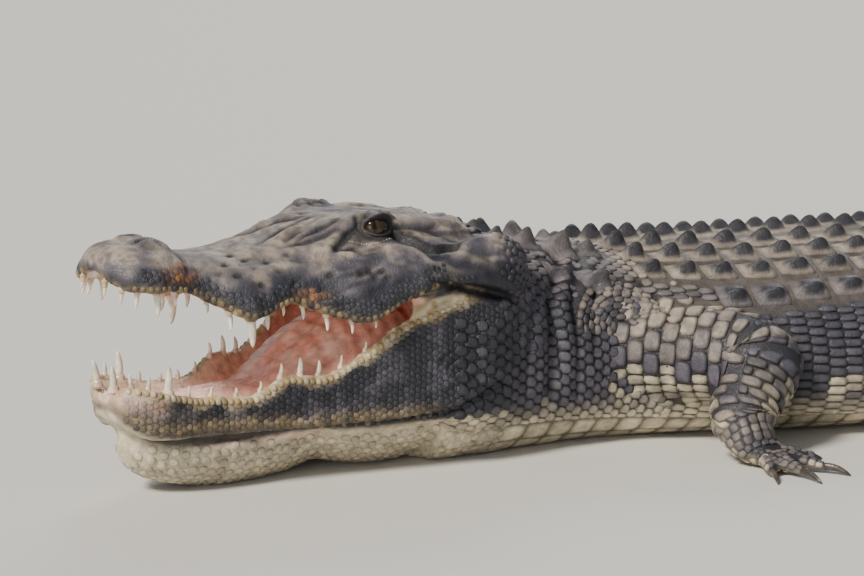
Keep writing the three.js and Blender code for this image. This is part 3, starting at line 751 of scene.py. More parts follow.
def lidShape(s, left, z):
    # how far a place should lie from the middle of the eye, how strongly, and whether it lies in the opening
    ds, dl, dz = s - eye["at"], np.abs(left) - eye["side"], z - eye["height"]
    far = np.sqrt(ds ** 2 + dl ** 2 + dz ** 2) + 1e-6
    # the eye looks outwards, a little forwards and up
    forward = -ds * 0.97 + dl * 0.24
    outward = dl * 0.92 + ds * 0.22 + dz * 0.3
    up = dz * 0.95 - dl * 0.32
    across = np.degrees(np.arctan2(forward, np.maximum(outward, 1e-3))) - lids["turn"]
    rising = np.degrees(np.arctan2(up, np.hypot(outward, forward)))
    shape = np.clip(1 - (across / lids["corner"]) ** 2, 0, 1)
    top, bottom = lids["upper"] * shape ** 0.7, -lids["lower"] * shape ** 0.8
    middle, half = (top + bottom) / 2, (top - bottom) / 2
    pastCorner = np.maximum(0, np.abs(across) - lids["corner"] + 2)
    edge = (np.abs(rising - middle) - half) + pastCorner * 0.8
    facing = smooth(outward / far, 0.0, 0.35)
    radius = eye["radius"]
    opened = smooth(edge, 3.0, -3.0)
    thick = mix(lids["thin"], lids["thick"], smooth(rising, 0, 30))
    lid = radius + thick * np.exp(-(np.maximum(edge, 0) / 18) ** 2) + np.maximum(edge, 0) * 0.05
    strength = facing * smooth(edge, 34, 8) * smooth(far, lids["reach"], 26)
    return far, mix(lid, radius - 4.5, opened), strength, opened


def sculpt(obj):
    # the relief of the skin: its places, how deep each lies in a groove, how high on a ridge, how far in the eye
    mesh = obj.data
    points = toLocal(vectors(mesh.vertices, "co"))
    normals = vectors(mesh.vertex_normals, "vector")
    s, left, z = headPlace(points)
    l = np.abs(left)
    u, out = bodyPlace(points)
    half, lip = station(craniumTable, s)[:2]
    jawHalf, rim = station(mandibleTable, s)[:2]
    headPlaces, bodyPlaces = np.stack([s, l, z], -1), np.stack([u, np.abs(out), z], -1)
    inHead = smooth(s, 470, 430)
    rise, groove, ridge = (values * inHead for values in strokeRise(headPlaces, strokes["head"]))
    neckRise, neckGroove = strokeRise(bodyPlaces, strokes["neck"], True)[:2]
    rise, groove = rise + neckRise, groove + neckGroove
    # the whorl of wrinkles on the angle of the jaw
    d = np.linalg.norm(headPlaces - swirl["at"], axis=1)
    fade = smooth(d, swirl["reach"], swirl["reach"] * 0.6)
    d = d + 5 * noiseAt(points, 18, 4.0)
    rise += swirl["height"] * np.cos(2 * np.pi * d / swirl["wave"]) * fade
    # the arched folds over the shoulder
    d = np.linalg.norm((bodyPlaces - shoulder["at"]) * (1, 1, 1.1), axis=1)
    wave = np.cos(2 * np.pi * (d - 13) / shoulder["wave"])
    first, last = shoulder["first"], shoulder["last"]
    fade = smooth(d, first, first + 8) * smooth(d, last, last - 14)
    fade *= smooth(z, 118, 140) * smooth(u, 290, 240)
    rise += shoulder["height"] * wave * fade
    # teeth swell the lips over their roots
    outside = smooth(l, half * 0.72, half * 0.9) * (z > lip - 6) * inHead
    for at, length in upperTeeth:
        rise += length * 0.10 * hump(s, at, 8) * hump(z, lip + 10, 13) * outside
    for at, length in lowerTeeth:
        rise += length * 0.09 * hump(s, at, 8) * hump(z, rim - 8, 10) * (l > jawHalf * 0.7)
    # hide is never quite even
    rise += noiseAt(points, 34, 1.0) * 1.6 * mix(0.6, 1, inHead)
    rise += noiseAt(points, 11, 2.0) * 0.9 * inHead
    outer = smooth(z - lip, 6, 22) * smooth(s, 470, 420)
    drawn = np.stack([s / 34, l / 6.5, z / 6.5], -1)
    rise += noiseAt(drawn, 1, 21.0) * 2.2 * outer * smooth(s, 110, 250)
    # fine wrinkles of the web between the jaws
    web = smooth(s, 330, 345) * smooth(s, 432, 412) * smooth(z - rim, -4, 4)
    web *= smooth(lip + 4 - z, -4, 4) * (l > jawHalf - 34)
    lines = noiseAt(np.stack([s / 34, (z - rim) / 3.6, l * 0], -1), 1, 31.0)
    rise += 2.6 * lines * web
    groove += 2.6 * smooth(-lines, 0.1, 0.5) * web
    for pit in pits:
        dent = hump(np.linalg.norm((headPlaces - pit) * (0.7, 1, 1), axis=1), 0, 3.4)
        rise -= 2.6 * dent
        groove += 4.5 * dent
    points += normals * rise[:, None]
    # nostrils, a crescent each
    ds, dl = s - 55, l - 15
    crescent = hump(ds + dl * 0.5, 0, 9) * hump(dl - ds * ds * 0.02, 0, 4) * (z > 250)
    border = hump(np.hypot(ds, dl * 1.3), 12, 4) * (z > 250)
    points[:, 2] += -9 * crescent + 1.8 * border
    groove += crescent * 6
    # lids
    s, left, z = headPlace(points)
    far, target, strength, opened = lidShape(s, left, z)
    middle = headPoint(eye["at"], np.where(left < 0, -eye["side"], eye["side"]), eye["height"])
    close = far < lids["reach"]
    newFar = mix(far, target, strength)
    newFar = np.where(opened < 0.3, np.maximum(newFar, eye["radius"] + lids["clear"]), newFar)
    points = np.where(close[:, None], middle + (points - middle) * (newFar / far)[:, None], points)
    points[:, 2] = np.maximum(points[:, 2], 0)
    mesh.vertices.foreach_set("co", toRow(points).ravel())
    mesh.update()
    return points, groove, ridge, strength * opened * close


skinPoints, skinGroove, skinRidge, skinSocket = sculpt(skin)
skinNormals = vectors(skin.data.vertex_normals, "vector")
print("skin sculpted")

# colours of the hide and the mouth, linear
tones = {
    "slate": (0.026, 0.027, 0.037),
    "blueBlack": (0.015, 0.0165, 0.025),
    "purpleGrey": (0.082, 0.075, 0.099),
    "warmGrey": (0.205, 0.172, 0.152),
    "tan": (0.34, 0.285, 0.220),
    "cream": (0.56, 0.49, 0.35),
    "yellow": (0.46, 0.34, 0.16),
    "amber": (0.34, 0.15, 0.055),
    "pink": (0.82, 0.41, 0.32),
    "palePink": (0.88, 0.62, 0.51),
    # near black: painted shade in grooves, pits, eye hollows and eye openings, and the dark between the scales
    # behind the head
    "gap": (0.010, 0.010, 0.013),
    "ivory": (0.80, 0.74, 0.60),
    "horn": (0.045, 0.036, 0.030),
    "eyeEdge": (0.030, 0.022, 0.016),
    "iris": (0.035, 0.021, 0.009),
    "pupil": (0.004, 0.004, 0.004),
}
tones = {name: np.array(tone) for name, tone in tones.items()}


def plainTone(points, tone):
    return np.tile(tones[tone], (len(points), 1))


def lay(colour, tone, share):
    # more of a tone where share is high
    return mix(colour, tones[tone], np.clip(share, 0, 1)[:, None])


def bodyTone(points, up):
    # colour of the trunk, neck, tail and legs at places, with how far they face up
    u, out = bodyPlace(points)
    half, z = station(bodyTable, u)[0], points[:, 2]
    wander = noiseAt(points, 60, 5.0)
    patch = noiseAt(points, 26, 9.0)
    colour = lay(plainTone(points, "slate"), "purpleGrey", 0.55 + wander * 0.8)
    inTrunk = smooth(u, 170, 240) * smooth(u, 1300, 1050)
    # tan where the trunk faces up: partly the back's own pale plates, partly painted top light
    upper = smooth(up, 0.55, 0.92) * inTrunk * (0.75 + wander * 0.4)
    colour = lay(colour, "tan", upper * (np.abs(out) < half))
    # painted top light: paler warm grey where the neck, tail and legs face up
    colour = lay(colour, "warmGrey", smooth(up, 0.5, 0.9) * (1 - inTrunk) * (0.35 + wander * 0.5))
    low = smooth(z, 62, 26) * smooth(up, 0.15, -0.35)
    colour = lay(colour, "cream", low * 0.95)
    colour = lay(colour, "cream", smooth(patch, 0.12, 0.34) * smooth(z, 92, 60) * (up < 0.45) * 0.85)
    return colour


def headTone(points, up):
    # colour of the head and the mouth, and which places are in the mouth
    s, left, z = headPlace(points)
    l = np.abs(left)
    half, lip, crown = station(craniumTable, s)[:3]
    jawHalf, rim, low, floor = station(mandibleTable, s)
    upper = smooth(z - cutHeight(s), -3, 3)
    patch, fine = noiseAt(points, 24, 7.0), noiseAt(points, 8, 8.0)
    rise = (z - lip) / np.maximum(crown - lip, 1)
    dark = lay(plainTone(points, "blueBlack"), "slate", 0.5 + patch)
    colour = dark
    # the crown and the top of the snout are paler; painted top light makes them warm grey where they face up,
    # with painted tan highlights
    top = smooth(rise + patch * 0.35, 0.42, 0.95) * smooth(up, 0.0, 0.7)
    colour = lay(colour, "purpleGrey", smooth(rise + patch * 0.3, 0.25, 0.75) * 0.85)
    colour = lay(colour, "warmGrey", top * (0.85 + fine * 0.9 + patch * 0.6))
    colour = lay(colour, "tan", smooth(fine + patch * 0.7, -0.1, 0.45) * top * 0.6)
    colour = lay(colour, "slate", smooth(fine - patch * 0.6, 0.15, 0.45) * 0.5)
    colour = lay(colour, "amber", hump(s, 74, 16) * hump(z, 236, 9) * (0.75 + fine))
    colour = lay(colour, "amber", hump(s, 205, 14) * hump(z, 203, 6) * (0.6 + fine))
    lipEdge = hump(z - lip, 1, 6) * smooth(half - l, 26, 10)
    colour = lay(colour, "yellow", lipEdge * (0.35 + fine * 0.9) * smooth(s, 370, 330))
    # painted shade: near black in the hollow round the eye below the brow, and at its front corner
    hollow = smooth(eyeDistance(s, left, z), 33, 25) * smooth(z, 284, 272)
    colour = lay(colour, "gap", hollow * 0.8)
    canthus = np.linalg.norm(np.stack([s, l, z], -1) - (276, 71, 253), axis=1)
    colour = lay(colour, "gap", smooth(canthus, 20, 6) * 0.75)
    # lower jaw
    jaw = lay(dark, "purpleGrey", smooth(fine + patch, 0.1, 0.5) * 0.5)
    jaw = lay(jaw, "warmGrey", smooth(s, 130, 40) * smooth(z, 78, 96) * (0.6 + patch))
    jaw = lay(jaw, "amber", smooth(s, 120, 60) * smooth(z, 86, 108) * smooth(patch, -0.1, 0.3) * 0.5)
    jaw = lay(jaw, "palePink", smooth(s, 60, 20) * smooth(z, 92, 108) * 0.6)
    rimBand = smooth(rim - z, 15 + patch * 9, 3) * smooth(s, 402, 380)
    jaw = lay(jaw, "yellow", rimBand * 0.75)
    jaw = lay(jaw, "cream", rimBand * smooth(fine, -0.2, 0.3) * 0.8)
    margin = hump(z, low + 13, 8) * smooth(s, 380, 300)
    jaw = lay(jaw, "yellow", margin * 0.38 * (0.8 + fine))
    under = smooth(low + 4 - z, -3, 4)
    jaw = lay(jaw, "cream", under * 0.95 * smooth(s, 470, 400))
    jaw = lay(jaw, "palePink", hump(z, low - 4, 5) * smooth(s, 80, 120) * smooth(s, 260, 200) * 0.8)
    colour = mix(jaw, colour, upper[:, None])
    # lining of the mouth
    lining = smooth(jawHalf - 11 - l, -2, 3) * (1 - upper) * (z > floor - 9) * smooth(z - low, 8, 14)
    roofed = smooth(half - 13 - l, -2, 3) * upper * smooth(up, 0.25, -0.1) * (z < lip + 32)
    inMouth = np.clip(lining * smooth(s, 412, 396) + roofed * smooth(s, 376, 362), 0, 1)
    inMouth = inMouth * smooth(s, 4, 12)
    flesh = lay(plainTone(points, "pink"), "palePink", smooth(s, 220, 90) * 0.9 + patch * 0.3)
    flesh = lay(flesh, "cream", smooth(jawHalf - l, 34, 16) * smooth(s, 330, 200) * 0.55)
    web = smooth(s, 318, 334) * smooth(l, jawHalf - 36, jawHalf - 20)
    flesh = lay(flesh, "yellow", web * 0.35)
    flesh = lay(flesh, "cream", web * 0.5)
    return mix(colour, flesh, inMouth[:, None]), inMouth


def hideTone(points, up):
    s, left, z = headPlace(points)
    u, out = bodyPlace(points)
    away = smooth(s, 425, 455)
    head, inMouth = headTone(points, up)
    return mix(head, bodyTone(points, up), away[:, None]), inMouth * (1 - away)


def writeTint(mesh, colours):
    layer = mesh.attributes.new("tint", "FLOAT_COLOR", "POINT")
    full = np.ones((len(colours), 4))
    full[:, :3] = np.clip(colours, 0, 1)
    layer.data.foreach_set("color", full.ravel())


def writeWet(mesh, shares):
    layer = mesh.attributes.new("wet", "FLOAT", "POINT")
    layer.data.foreach_set("value", shares)


# painted shade in the grooves, painted highlight on the ridges, dark between the scales behind the head, painted
# shade in the eye openings
skinTint, skinWet = hideTone(skinPoints, skinNormals[:, 2])
dry = 1 - skinWet
# painted shade: near black in grooves, pits, nostrils and wrinkles, deeper where they are deeper
skinTint = lay(skinTint, "gap", np.clip(skinGroove / 3.2, 0, 0.93) * dry)
# painted highlight: tan on the high ridges of the head
highlightAndGrain = np.clip(skinRidge / 8, 0, 0.4) * smooth(skinPoints[:, 2], 212, 228)
skinTint = lay(skinTint, "tan", highlightAndGrain * dry)
skinTint = lay(skinTint, "gap", smooth(headPlace(skinPoints)[0], 432, 446) * 0.72)
# painted shade: near black on the skin inside each eye opening, behind the eyeball
skinTint = lay(skinTint, "gap", skinSocket)
writeTint(skin.data, skinTint)
writeWet(skin.data, skinWet)
skinTree = BVHTree.FromObject(skin, bpy.context.evaluated_depsgraph_get())
print("skin coloured")


def closedBelow(x, y, radius, faces):
    # a template with a face under it
    rim = [int(n) for n in np.flatnonzero(radius > 0.999)]
    rim.sort(key=lambda n: -math.atan2(y[n], x[n]))
    return x, y, radius, faces + [rim]


def domeTemplate(sides, shares, squareness):
    # a low dome from a disc: its corners as x, y and share of the way out, and its faces
    bm = bmesh.new()
    bmesh.ops.create_circle(bm, cap_ends=True, radius=1, segments=sides)
    bm.faces.ensure_lookup_table()
    face = bm.faces[0]
    size = 1.0
    for share in shares:
        bmesh.ops.inset_region(bm, faces=[face], thickness=(size - share) * math.cos(math.pi / sides),
                               use_boundary=True, use_even_offset=True)
        size = share
    bmesh.ops.poke(bm, faces=[face])
    bm.verts.index_update()
    flat = np.array([vert.co[:2] for vert in bm.verts])
    faces = [[vert.index for vert in f.verts] for f in bm.faces]
    up = [f.normal.z for f in bm.faces]
    faces = [f if n > 0 else f[::-1] for f, n in zip(faces, up)]
    bm.free()
    radius = np.hypot(flat[:, 0], flat[:, 1])
    away = np.maximum(radius, 1e-9)
    x, y = np.abs(flat[:, 0] / away), np.abs(flat[:, 1] / away)
    stretch = (x ** squareness + y ** squareness) ** (-1 / squareness)
    stretch = np.where(radius > 1e-6, stretch, 0)
    return closedBelow(flat[:, 0] * stretch, flat[:, 1] * stretch, radius, faces)


def scuteTemplate(along, around, squareness):
    # the same from a grid, closer together under the keel
    bm = bmesh.new()
    bmesh.ops.create_grid(bm, x_segments=along, y_segments=around, size=1)
    flat = np.array([vert.co[:2] for vert in bm.verts])
    faces = [[vert.index for vert in f.verts] for f in bm.faces]
    bm.free()
    x, y = flat[:, 0], np.sign(flat[:, 1]) * np.abs(flat[:, 1]) ** 1.5
    radius = np.maximum(np.abs(x), np.abs(flat[:, 1]))
    size = np.maximum(np.abs(x), np.abs(y))
    corner = (np.abs(x) ** squareness + np.abs(y) ** squareness) ** (1 / squareness)
    shrink = np.where(size > 0, size / np.maximum(corner, 1e-9), 1)
    return closedBelow(x * shrink, y * shrink, radius, faces)


pebble = domeTemplate(8, (0.8, 0.45), 2.4)
tile = domeTemplate(8, (0.88, 0.5), 3.4)
plate = domeTemplate(16, (0.9, 0.6), 4.5)
scute = scuteTemplate(12, 8, 5.0)
crestPlate = scuteTemplate(10, 6, 4.0)


def dress(made, material):
    # a finished piece: smooth, with its material, riding on the body
    made.data.polygons.foreach_set("use_smooth", [True] * len(made.data.polygons))
    made.data.materials.append(material)
    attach(made, "root")


def triangles(mesh):
    return sum(len(polygon.vertices) - 2 for polygon in mesh.polygons)


class Coat:
    # many scales as one mesh, each laid on the skin; a clear one keeps off the legs
    def __init__(self, name, point=None, reach=16, seed=1, clear=False):
        self.name, self.point, self.reach, self.clear = name, point, reach, clear
        self.places, self.faces, self.roots = [], [], []
        self.edges, self.crests, self.middles, self.toned = [], [], [], []
        self.luck = random.Random(seed)
        self.count = 0

    def add(self, template, p, q, dp, dq, **shape):
        # a scale between places of a surface's own directions
        x, y = template[:2]
        base = self.point(p + x * dp, q - y * dq)
        way = (self.point(p + x * dp, q - y * dq, 30) - base).mean(0)
        self.shape(template, base, way / np.linalg.norm(way), **shape)

    def spread(self, template, p, cells, dp, fill, **shape):
        # scales round a ring of cells
        for q, half in cells:
            self.add(template, p, q, dp, half * fill, root=bodyRoot(p, q), **shape)

    def lay(self, template, seed, outward, ahead, dx, dy, **shape):
        # a scale flat on the skin below a seed
        hit, normal = skinTree.ray_cast(Vector(toRow(seed)), Vector(-outward), 0.16)[:2]
        if hit is None or hit.z < 0.4 * mm:
            return
        way = np.array(normal)
        if way @ outward < 0.12:
            return
        ahead = ahead - way * (way @ ahead)
        ahead = ahead / np.linalg.norm(ahead)
        x, y = template[:2]
        base = toLocal(hit) + np.outer(x * dx, ahead) + np.outer(y * dy, np.cross(way, ahead))
        self.shape(template, base, way, **shape)

    def shape(self, template, base, way, height, sink=1.3, keel=0, tilt=0, root=(0, 0), shade=0.5,
              ridge=0.16, peak=0.4, crest=0.0, dome=0.5, tone="cream", toned=0.0):
        # drawn down onto the skin along its way, then raised to its dome and keel
        x, y, radius, faces = template
        ahead = Vector(-way)
        laid = np.empty_like(base)
        for k, place in enumerate(toRow(base + way * 24)):
            hit = skinTree.ray_cast(Vector(place), ahead, 0.06)[0]
            if hit is None:
                return
            laid[k] = hit
        laid = toLocal(laid)
        if np.linalg.norm(laid - base, axis=1).max() > self.reach:
            return
        if self.clear and any(nearLimb(laid.mean(0)[None], limb, 2)[0] < 1 for limb in limbs.values()):
            return
        inner = radius < 0.99
        rise = np.where(inner, height * self.luck.uniform(0.8, 1.2) * (1 - dome * radius ** 2.2), -sink)
        rise = rise + inner * height * tilt * x
        along = np.clip(1 - ((x - peak) / np.where(x > peak, 0.6, 0.85)) ** 2, 0, 1) * inner
        placed = laid + way * (rise + keel * hump(y, 0, ridge) * along)[:, None]
        placed[:, 2] = np.maximum(placed[:, 2], 0)
        self.places.append(placed)
        self.middles.append((*laid.mean(0), way[2], self.luck.uniform(0.82, 1.18)))
        self.edges.append(1 - shade * smooth(radius, 0.62, 1.0))
        self.crests.append(smooth(hump(y, 0, ridge * 1.8) * along, 0.1, 0.5) * crest)
        self.toned.append((*tones[tone], toned))
        self.roots.append(np.array(root)[None] + np.stack([x, y], -1) * 0.0014)
        self.faces += [[self.count + i for i in face] for face in faces]
        self.count += len(x)

    def finish(self, material):
        mesh = bpy.data.meshes.new(self.name)
        mesh.from_pydata(toRow(np.concatenate(self.places)).tolist(), [], self.faces)
        mesh.update()
        sizes = [len(edge) for edge in self.edges]
        middles, toned = np.repeat(self.middles, sizes, 0), np.repeat(self.toned, sizes, 0)
        patchy = 1 + noiseAt(np.concatenate(self.places), 13, 15.0)[:, None]
        share = np.clip(toned[:, 3:] * patchy, 0, 1)
        # the hide's colours at each scale's middle, with the painted top light of the way the scale faces
        tints = mix(hideTone(middles[:, :3], middles[:, 3])[0], toned[:, :3], share)
        tints = tints * middles[:, 4:] * np.concatenate(self.edges)[:, None]
        writeTint(mesh, lay(tints, "blueBlack", np.concatenate(self.crests)))
        layer = mesh.uv_layers.new(name="OFBake")
        corners = np.zeros(len(mesh.loops), dtype=int)
        mesh.loops.foreach_get("vertex_index", corners)
        layer.data.foreach_set("uv", np.concatenate(self.roots)[corners].ravel())
        made = bpy.data.objects.new(self.name, mesh)
        bpy.context.scene.collection.objects.link(made)
        dress(made, material)
        print(self.name, "scales", len(self.middles), "triangles", triangles(mesh))


def hideMaterial(name, roughness, cell, depth, gloss=0.0):
    # colour from the tint, broken up by fine noise, with small wrinkles
    material = bpy.data.materials.new(name)
    material.use_nodes = True
    nodes, links = material.node_tree.nodes, material.node_tree.links
    shader = nodes["Principled BSDF"]
    tint = nodes.new("ShaderNodeAttribute")
    tint.attribute_name = "tint"
    place = nodes.new("ShaderNodeTexCoord")
    grain = nodes.new("ShaderNodeTexNoise")
    grain.inputs["Scale"].default_value = 95
    grain.inputs["Detail"].default_value = 5
    links.new(place.outputs["Object"], grain.inputs["Vector"])
    spread = nodes.new("ShaderNodeMapRange")
    spread.inputs["From Min"].default_value, spread.inputs["From Max"].default_value = 0.3, 0.7
    spread.inputs["To Min"].default_value, spread.inputs["To Max"].default_value = 0.68, 1.3
    links.new(grain.outputs["Fac"], spread.inputs["Value"])
    highlightAndGrain = nodes.new("ShaderNodeVectorMath")
    highlightAndGrain.operation = "MULTIPLY"
    links.new(tint.outputs["Color"], highlightAndGrain.inputs[0])
    links.new(spread.outputs["Result"], highlightAndGrain.inputs[1])
    links.new(highlightAndGrain.outputs["Vector"], shader.inputs["Base Color"])
    wet = nodes.new("ShaderNodeAttribute")
    wet.attribute_name = "wet"
    sheen = nodes.new("ShaderNodeMapRange")
    sheen.inputs["To Min"].default_value, sheen.inputs["To Max"].default_value = roughness, 0.2
    links.new(wet.outputs["Fac"], sheen.inputs["Value"])
    links.new(sheen.outputs["Result"], shader.inputs["Roughness"])
    cracks = nodes.new("ShaderNodeTexVoronoi")
    cracks.feature = "DISTANCE_TO_EDGE"
    cracks.inputs["Scale"].default_value = 1 / (cell * mm)
    links.new(place.outputs["Object"], cracks.inputs["Vector"])
    creases = nodes.new("ShaderNodeMapRange")
    creases.inputs["From Max"].default_value = 0.12
    links.new(cracks.outputs["Distance"], creases.inputs["Value"])
    joined = nodes.new("ShaderNodeMath")
    joined.operation = "MULTIPLY_ADD"
    joined.inputs[1].default_value = 0.55
    links.new(creases.outputs["Result"], joined.inputs[0])
    links.new(grain.outputs["Fac"], joined.inputs[2])
    bump = nodes.new("ShaderNodeBump")
    bump.inputs["Strength"].default_value = depth
    bump.inputs["Distance"].default_value = 1.2 * mm
    links.new(joined.outputs["Value"], bump.inputs["Height"])
    links.new(bump.outputs["Normal"], shader.inputs["Normal"])
    shader.inputs["Coat Weight"].default_value = gloss
    shader.inputs["Coat Roughness"].default_value = 0.08
    return material


dress(skin, hideMaterial("hideLook", 0.56, 4.2, 0.5))

scaleLook = hideMaterial("scaleLook", 0.54, 5.5, 0.4)
keelLook = hideMaterial("keelLook", 0.58, 7, 0.5)


def ringCells(point, p, first, last, width, offset=0.0):
    # scales of equal width round a ring: middle and half of each, in degrees
    angles = np.linspace(first, last, 61)
    steps = np.linalg.norm(np.diff(point(p, angles), axis=0), axis=1)
    reach = np.concatenate([[0], np.cumsum(steps)])
    count = max(1, round(reach[-1] / width))
    edges = np.interp((np.arange(count + 1) + offset) * reach[-1] / count, reach, angles)
    least = 0.3 * abs(edges[1] - edges[0])
    return [((a + b) / 2, abs(b - a) / 2) for a, b in zip(edges, edges[1:]) if abs(b - a) > least]


def bodyRoot(u, angle):
    # place of a root on the unrolled skin of the body
    return 0.02 + 0.43 * (u + 100) / 2800, 0.5 + 0.45 * angle / 180


def ringAngle(u, column):
    # angle of the edge between columns of scutes
    half = float(station(bodyTable, u)[0])
    width = min(body["columnWidth"], half * 0.21)
    return math.degrees(math.asin(min(1, column * width / half)))


def columnsAt(row):
    return 4 if 2 <= row < 14 else 3


trunkScutes = {
    "half": 23.4,
    "fill": 0.97,
    "keels": (15, 11),  # by the spine and at the flank
    "frontKeel": 1.3,  # taller on the first rows
    "look": {"height": 2.6, "tilt": 0.3, "ridge": 0.26, "peak": 0.15, "crest": 0.95, "sink": 2},
}
backCoat = Coat("backScutes", bodyPoint, reach=22, seed=3)
for row in range(body["rows"]):
    u = body["firstRow"] + row * body["rowPitch"]
    front = mix(trunkScutes["frontKeel"], 1, float(smooth(row / 3)))
    for side in (1, -1):
        for column in range(columnsAt(row)):
            low, high = ringAngle(u, column), ringAngle(u, column + 1)
            cells = [(side * (low + high) / 2, (high - low) / 2)]
            keel = mix(*trunkScutes["keels"], column / 4) * front
            backCoat.spread(scute, u, cells, trunkScutes["half"], trunkScutes["fill"], keel=keel,
                            **trunkScutes["look"])

nuchals = [  # length along the back, angle, width, length, keel
    (36, 9, 24, 26, 11),
    (38, 30, 28, 28, 11),
    (66, 10, 30, 30, 16),
    (102, 12, 42, 40, 22),
    (106, 38, 34, 36, 15),
    (148, 13, 50, 48, 27),
    (154, 42, 44, 44, 22),
    (190, 12, 38, 34, 15),
]
nuchalLook = {"height": 3, "tilt": 0.2, "ridge": 0.24, "peak": 0.3, "crest": 0.5, "sink": 2.5}
nuchalKeel = 0.86
for u, angle, width, length, keel in nuchals:
    radius = float(np.linalg.norm(bodyPoint(u, angle) - beside(u, 0, 105)))
    halfAngle = math.degrees(width / 2 / radius)
    for side in (1, -1):
        backCoat.spread(scute, u, [(side * angle, halfAngle)], length / 2, 1, keel=keel * nuchalKeel,
                        **nuchalLook)

tail = {
    "half": body["whorlPitch"] / 2,
    "apart": 34,  # degrees from the spine to a crest of the first whorl
    "widths": (42, 20),  # of a double crest, from the first whorl to where the crests meet
    "keels": (17, 34),
    "singleKeels": (40, 14),
    "innerWhorls": 6,
    "outerWhorls": 5,
    "sideKeel": 9,
    "belly": 125,  # degrees from the spine to the pale underside
}


def tailWhorl(whorl):
    # of a whorl: length along the back, half width, and angle, width and height of its crest
    u = tailStart + (whorl + 0.5) * body["whorlPitch"]
    half = float(station(bodyTable, u)[0])
    m = whorl / body["crestMeeting"]
    if m < 1:
        return u, half, tail["apart"] * (1 - m ** 1.4), mix(*tail["widths"], m), mix(*tail["keels"], m)
    end = clampTo(whorl, body["crestMeeting"], body["whorls"])
    return u, half, 0, max(8, half * 0.5), mix(*tail["singleKeels"], end ** 1.3)


def halfTurn(width, half):
    return math.degrees(math.asin(min(0.95, width / 2 / half)))


for whorl in range(body["whorls"]):
    u, half, angle, width, tall = tailWhorl(whorl)
    crests = [(angle, width, tall)]
    if whorl < tail["innerWhorls"]:
        crests.append((angle * 0.34, width * 0.84, tail["sideKeel"]))
    if whorl < tail["outerWhorls"]:
        crests.append((angle + 26, 34, tail["sideKeel"]))
    for at, wide, keel in crests:
        for side in (1, -1) if angle else (1,):
            backCoat.spread(crestPlate, u, [(side * at, halfTurn(wide, half))], tail["half"] * 0.97, 0.92,
                            height=2, keel=keel - 2, ridge=0.2 if keel < 12 else 0.34, peak=0.45,
                            crest=0.7, sink=2)
backCoat.finish(keelLook)

bellyAngle = 118  # degrees from the spine to the belly's plates
flankCells = {"pitch": 20, "width": 10.5, "half": 12.5}
bellyCells = {"pitch": 33, "width": 29, "half": 16.4}
neckCells = {"pitch": 11.5, "width": 13, "half": 7.0, "stray": 1.5}
flankCoat = Coat("flankScales", bodyPoint, reach=18, seed=5, clear=True)
bellyCoat = Coat("bellyScales", bodyPoint, reach=24, seed=6, clear=True)


def overNuchal(u, angle):
    return any(abs(u - at) < length * 0.62 and abs(abs(angle) - turn) < width * 0.27
               for at, turn, width, length, keel in nuchals)


def inArcs(u, angle):
    # whether the arched scales of the shoulder lie there
    lift = float(bodyPoint(u, angle)[2]) - shoulder["at"][2]
    return math.hypot(u - shoulder["at"][0], lift) < 72 and lift > 4 and abs(angle) > 40


stops = np.arange(body["firstRow"] - 18, tailStart - 4, flankCells["pitch"])
for row, u in enumerate(stops, 1):
    nearest = int(np.clip(round((u - body["firstRow"]) / body["rowPitch"]), 0, body["rows"] - 1))
    first = ringAngle(u, columnsAt(nearest)) + 2
    for side in (1, -1):
        cells = ringCells(bodyPoint, u, side * first, side * bellyAngle, flankCells["width"], 0.5 * (row % 2))
        flankCoat.spread(tile, u, cells, flankCells["half"], 0.97, height=2.4, tilt=0.3, dome=0.4)
for u in np.arange(-40, tailStart, bellyCells["pitch"]):
    for side in (1, -1):
        cells = ringCells(bodyPoint, u, side * bellyAngle, side * 179, bellyCells["width"])
        bellyCoat.spread(plate, u, cells, bellyCells["half"], 0.99, height=1.2, dome=0.2)
for row, u in enumerate(np.arange(-58, 232, neckCells["pitch"]), 1):
    for side in (1, -1):
        cells = ringCells(bodyPoint, u, side, side * bellyAngle, neckCells["width"], 0.5 * (row % 2))
        for angle, half in cells:
            if not overNuchal(u, angle) and not inArcs(u, angle):
                stray = flankCoat.luck.uniform(-neckCells["stray"], neckCells["stray"])
                flankCoat.add(tile, u + stray, angle, neckCells["half"], half * 0.98, height=2.0, tilt=0.45,
                              dome=0.3, root=bodyRoot(u, angle))
for whorl in range(body["whorls"]):
    u, half, first, width, tall = tailWhorl(whorl)
    turn = halfTurn(width, half)
    long = tail["half"] * 0.95
    for side in (1, -1):
        cells = ringCells(bodyPoint, u, side * (first + turn), side * 179, 20)
        high = [cell for cell in cells if abs(cell[0]) <= tail["belly"]]
        low = [cell for cell in cells if abs(cell[0]) > tail["belly"]]
        flankCoat.spread(plate, u, high, long, 0.94, height=2.0, tilt=0.2, keel=1.6, ridge=0.25)
        bellyCoat.spread(plate, u, low, long, 0.94, height=1.4, tilt=0.2, ridge=0.25)
        if first > 6:
            between = ringCells(bodyPoint, u, side, side * (first - turn), 18)
            flankCoat.spread(plate, u, between, long, 0.94, height=1.6, tilt=0.2)

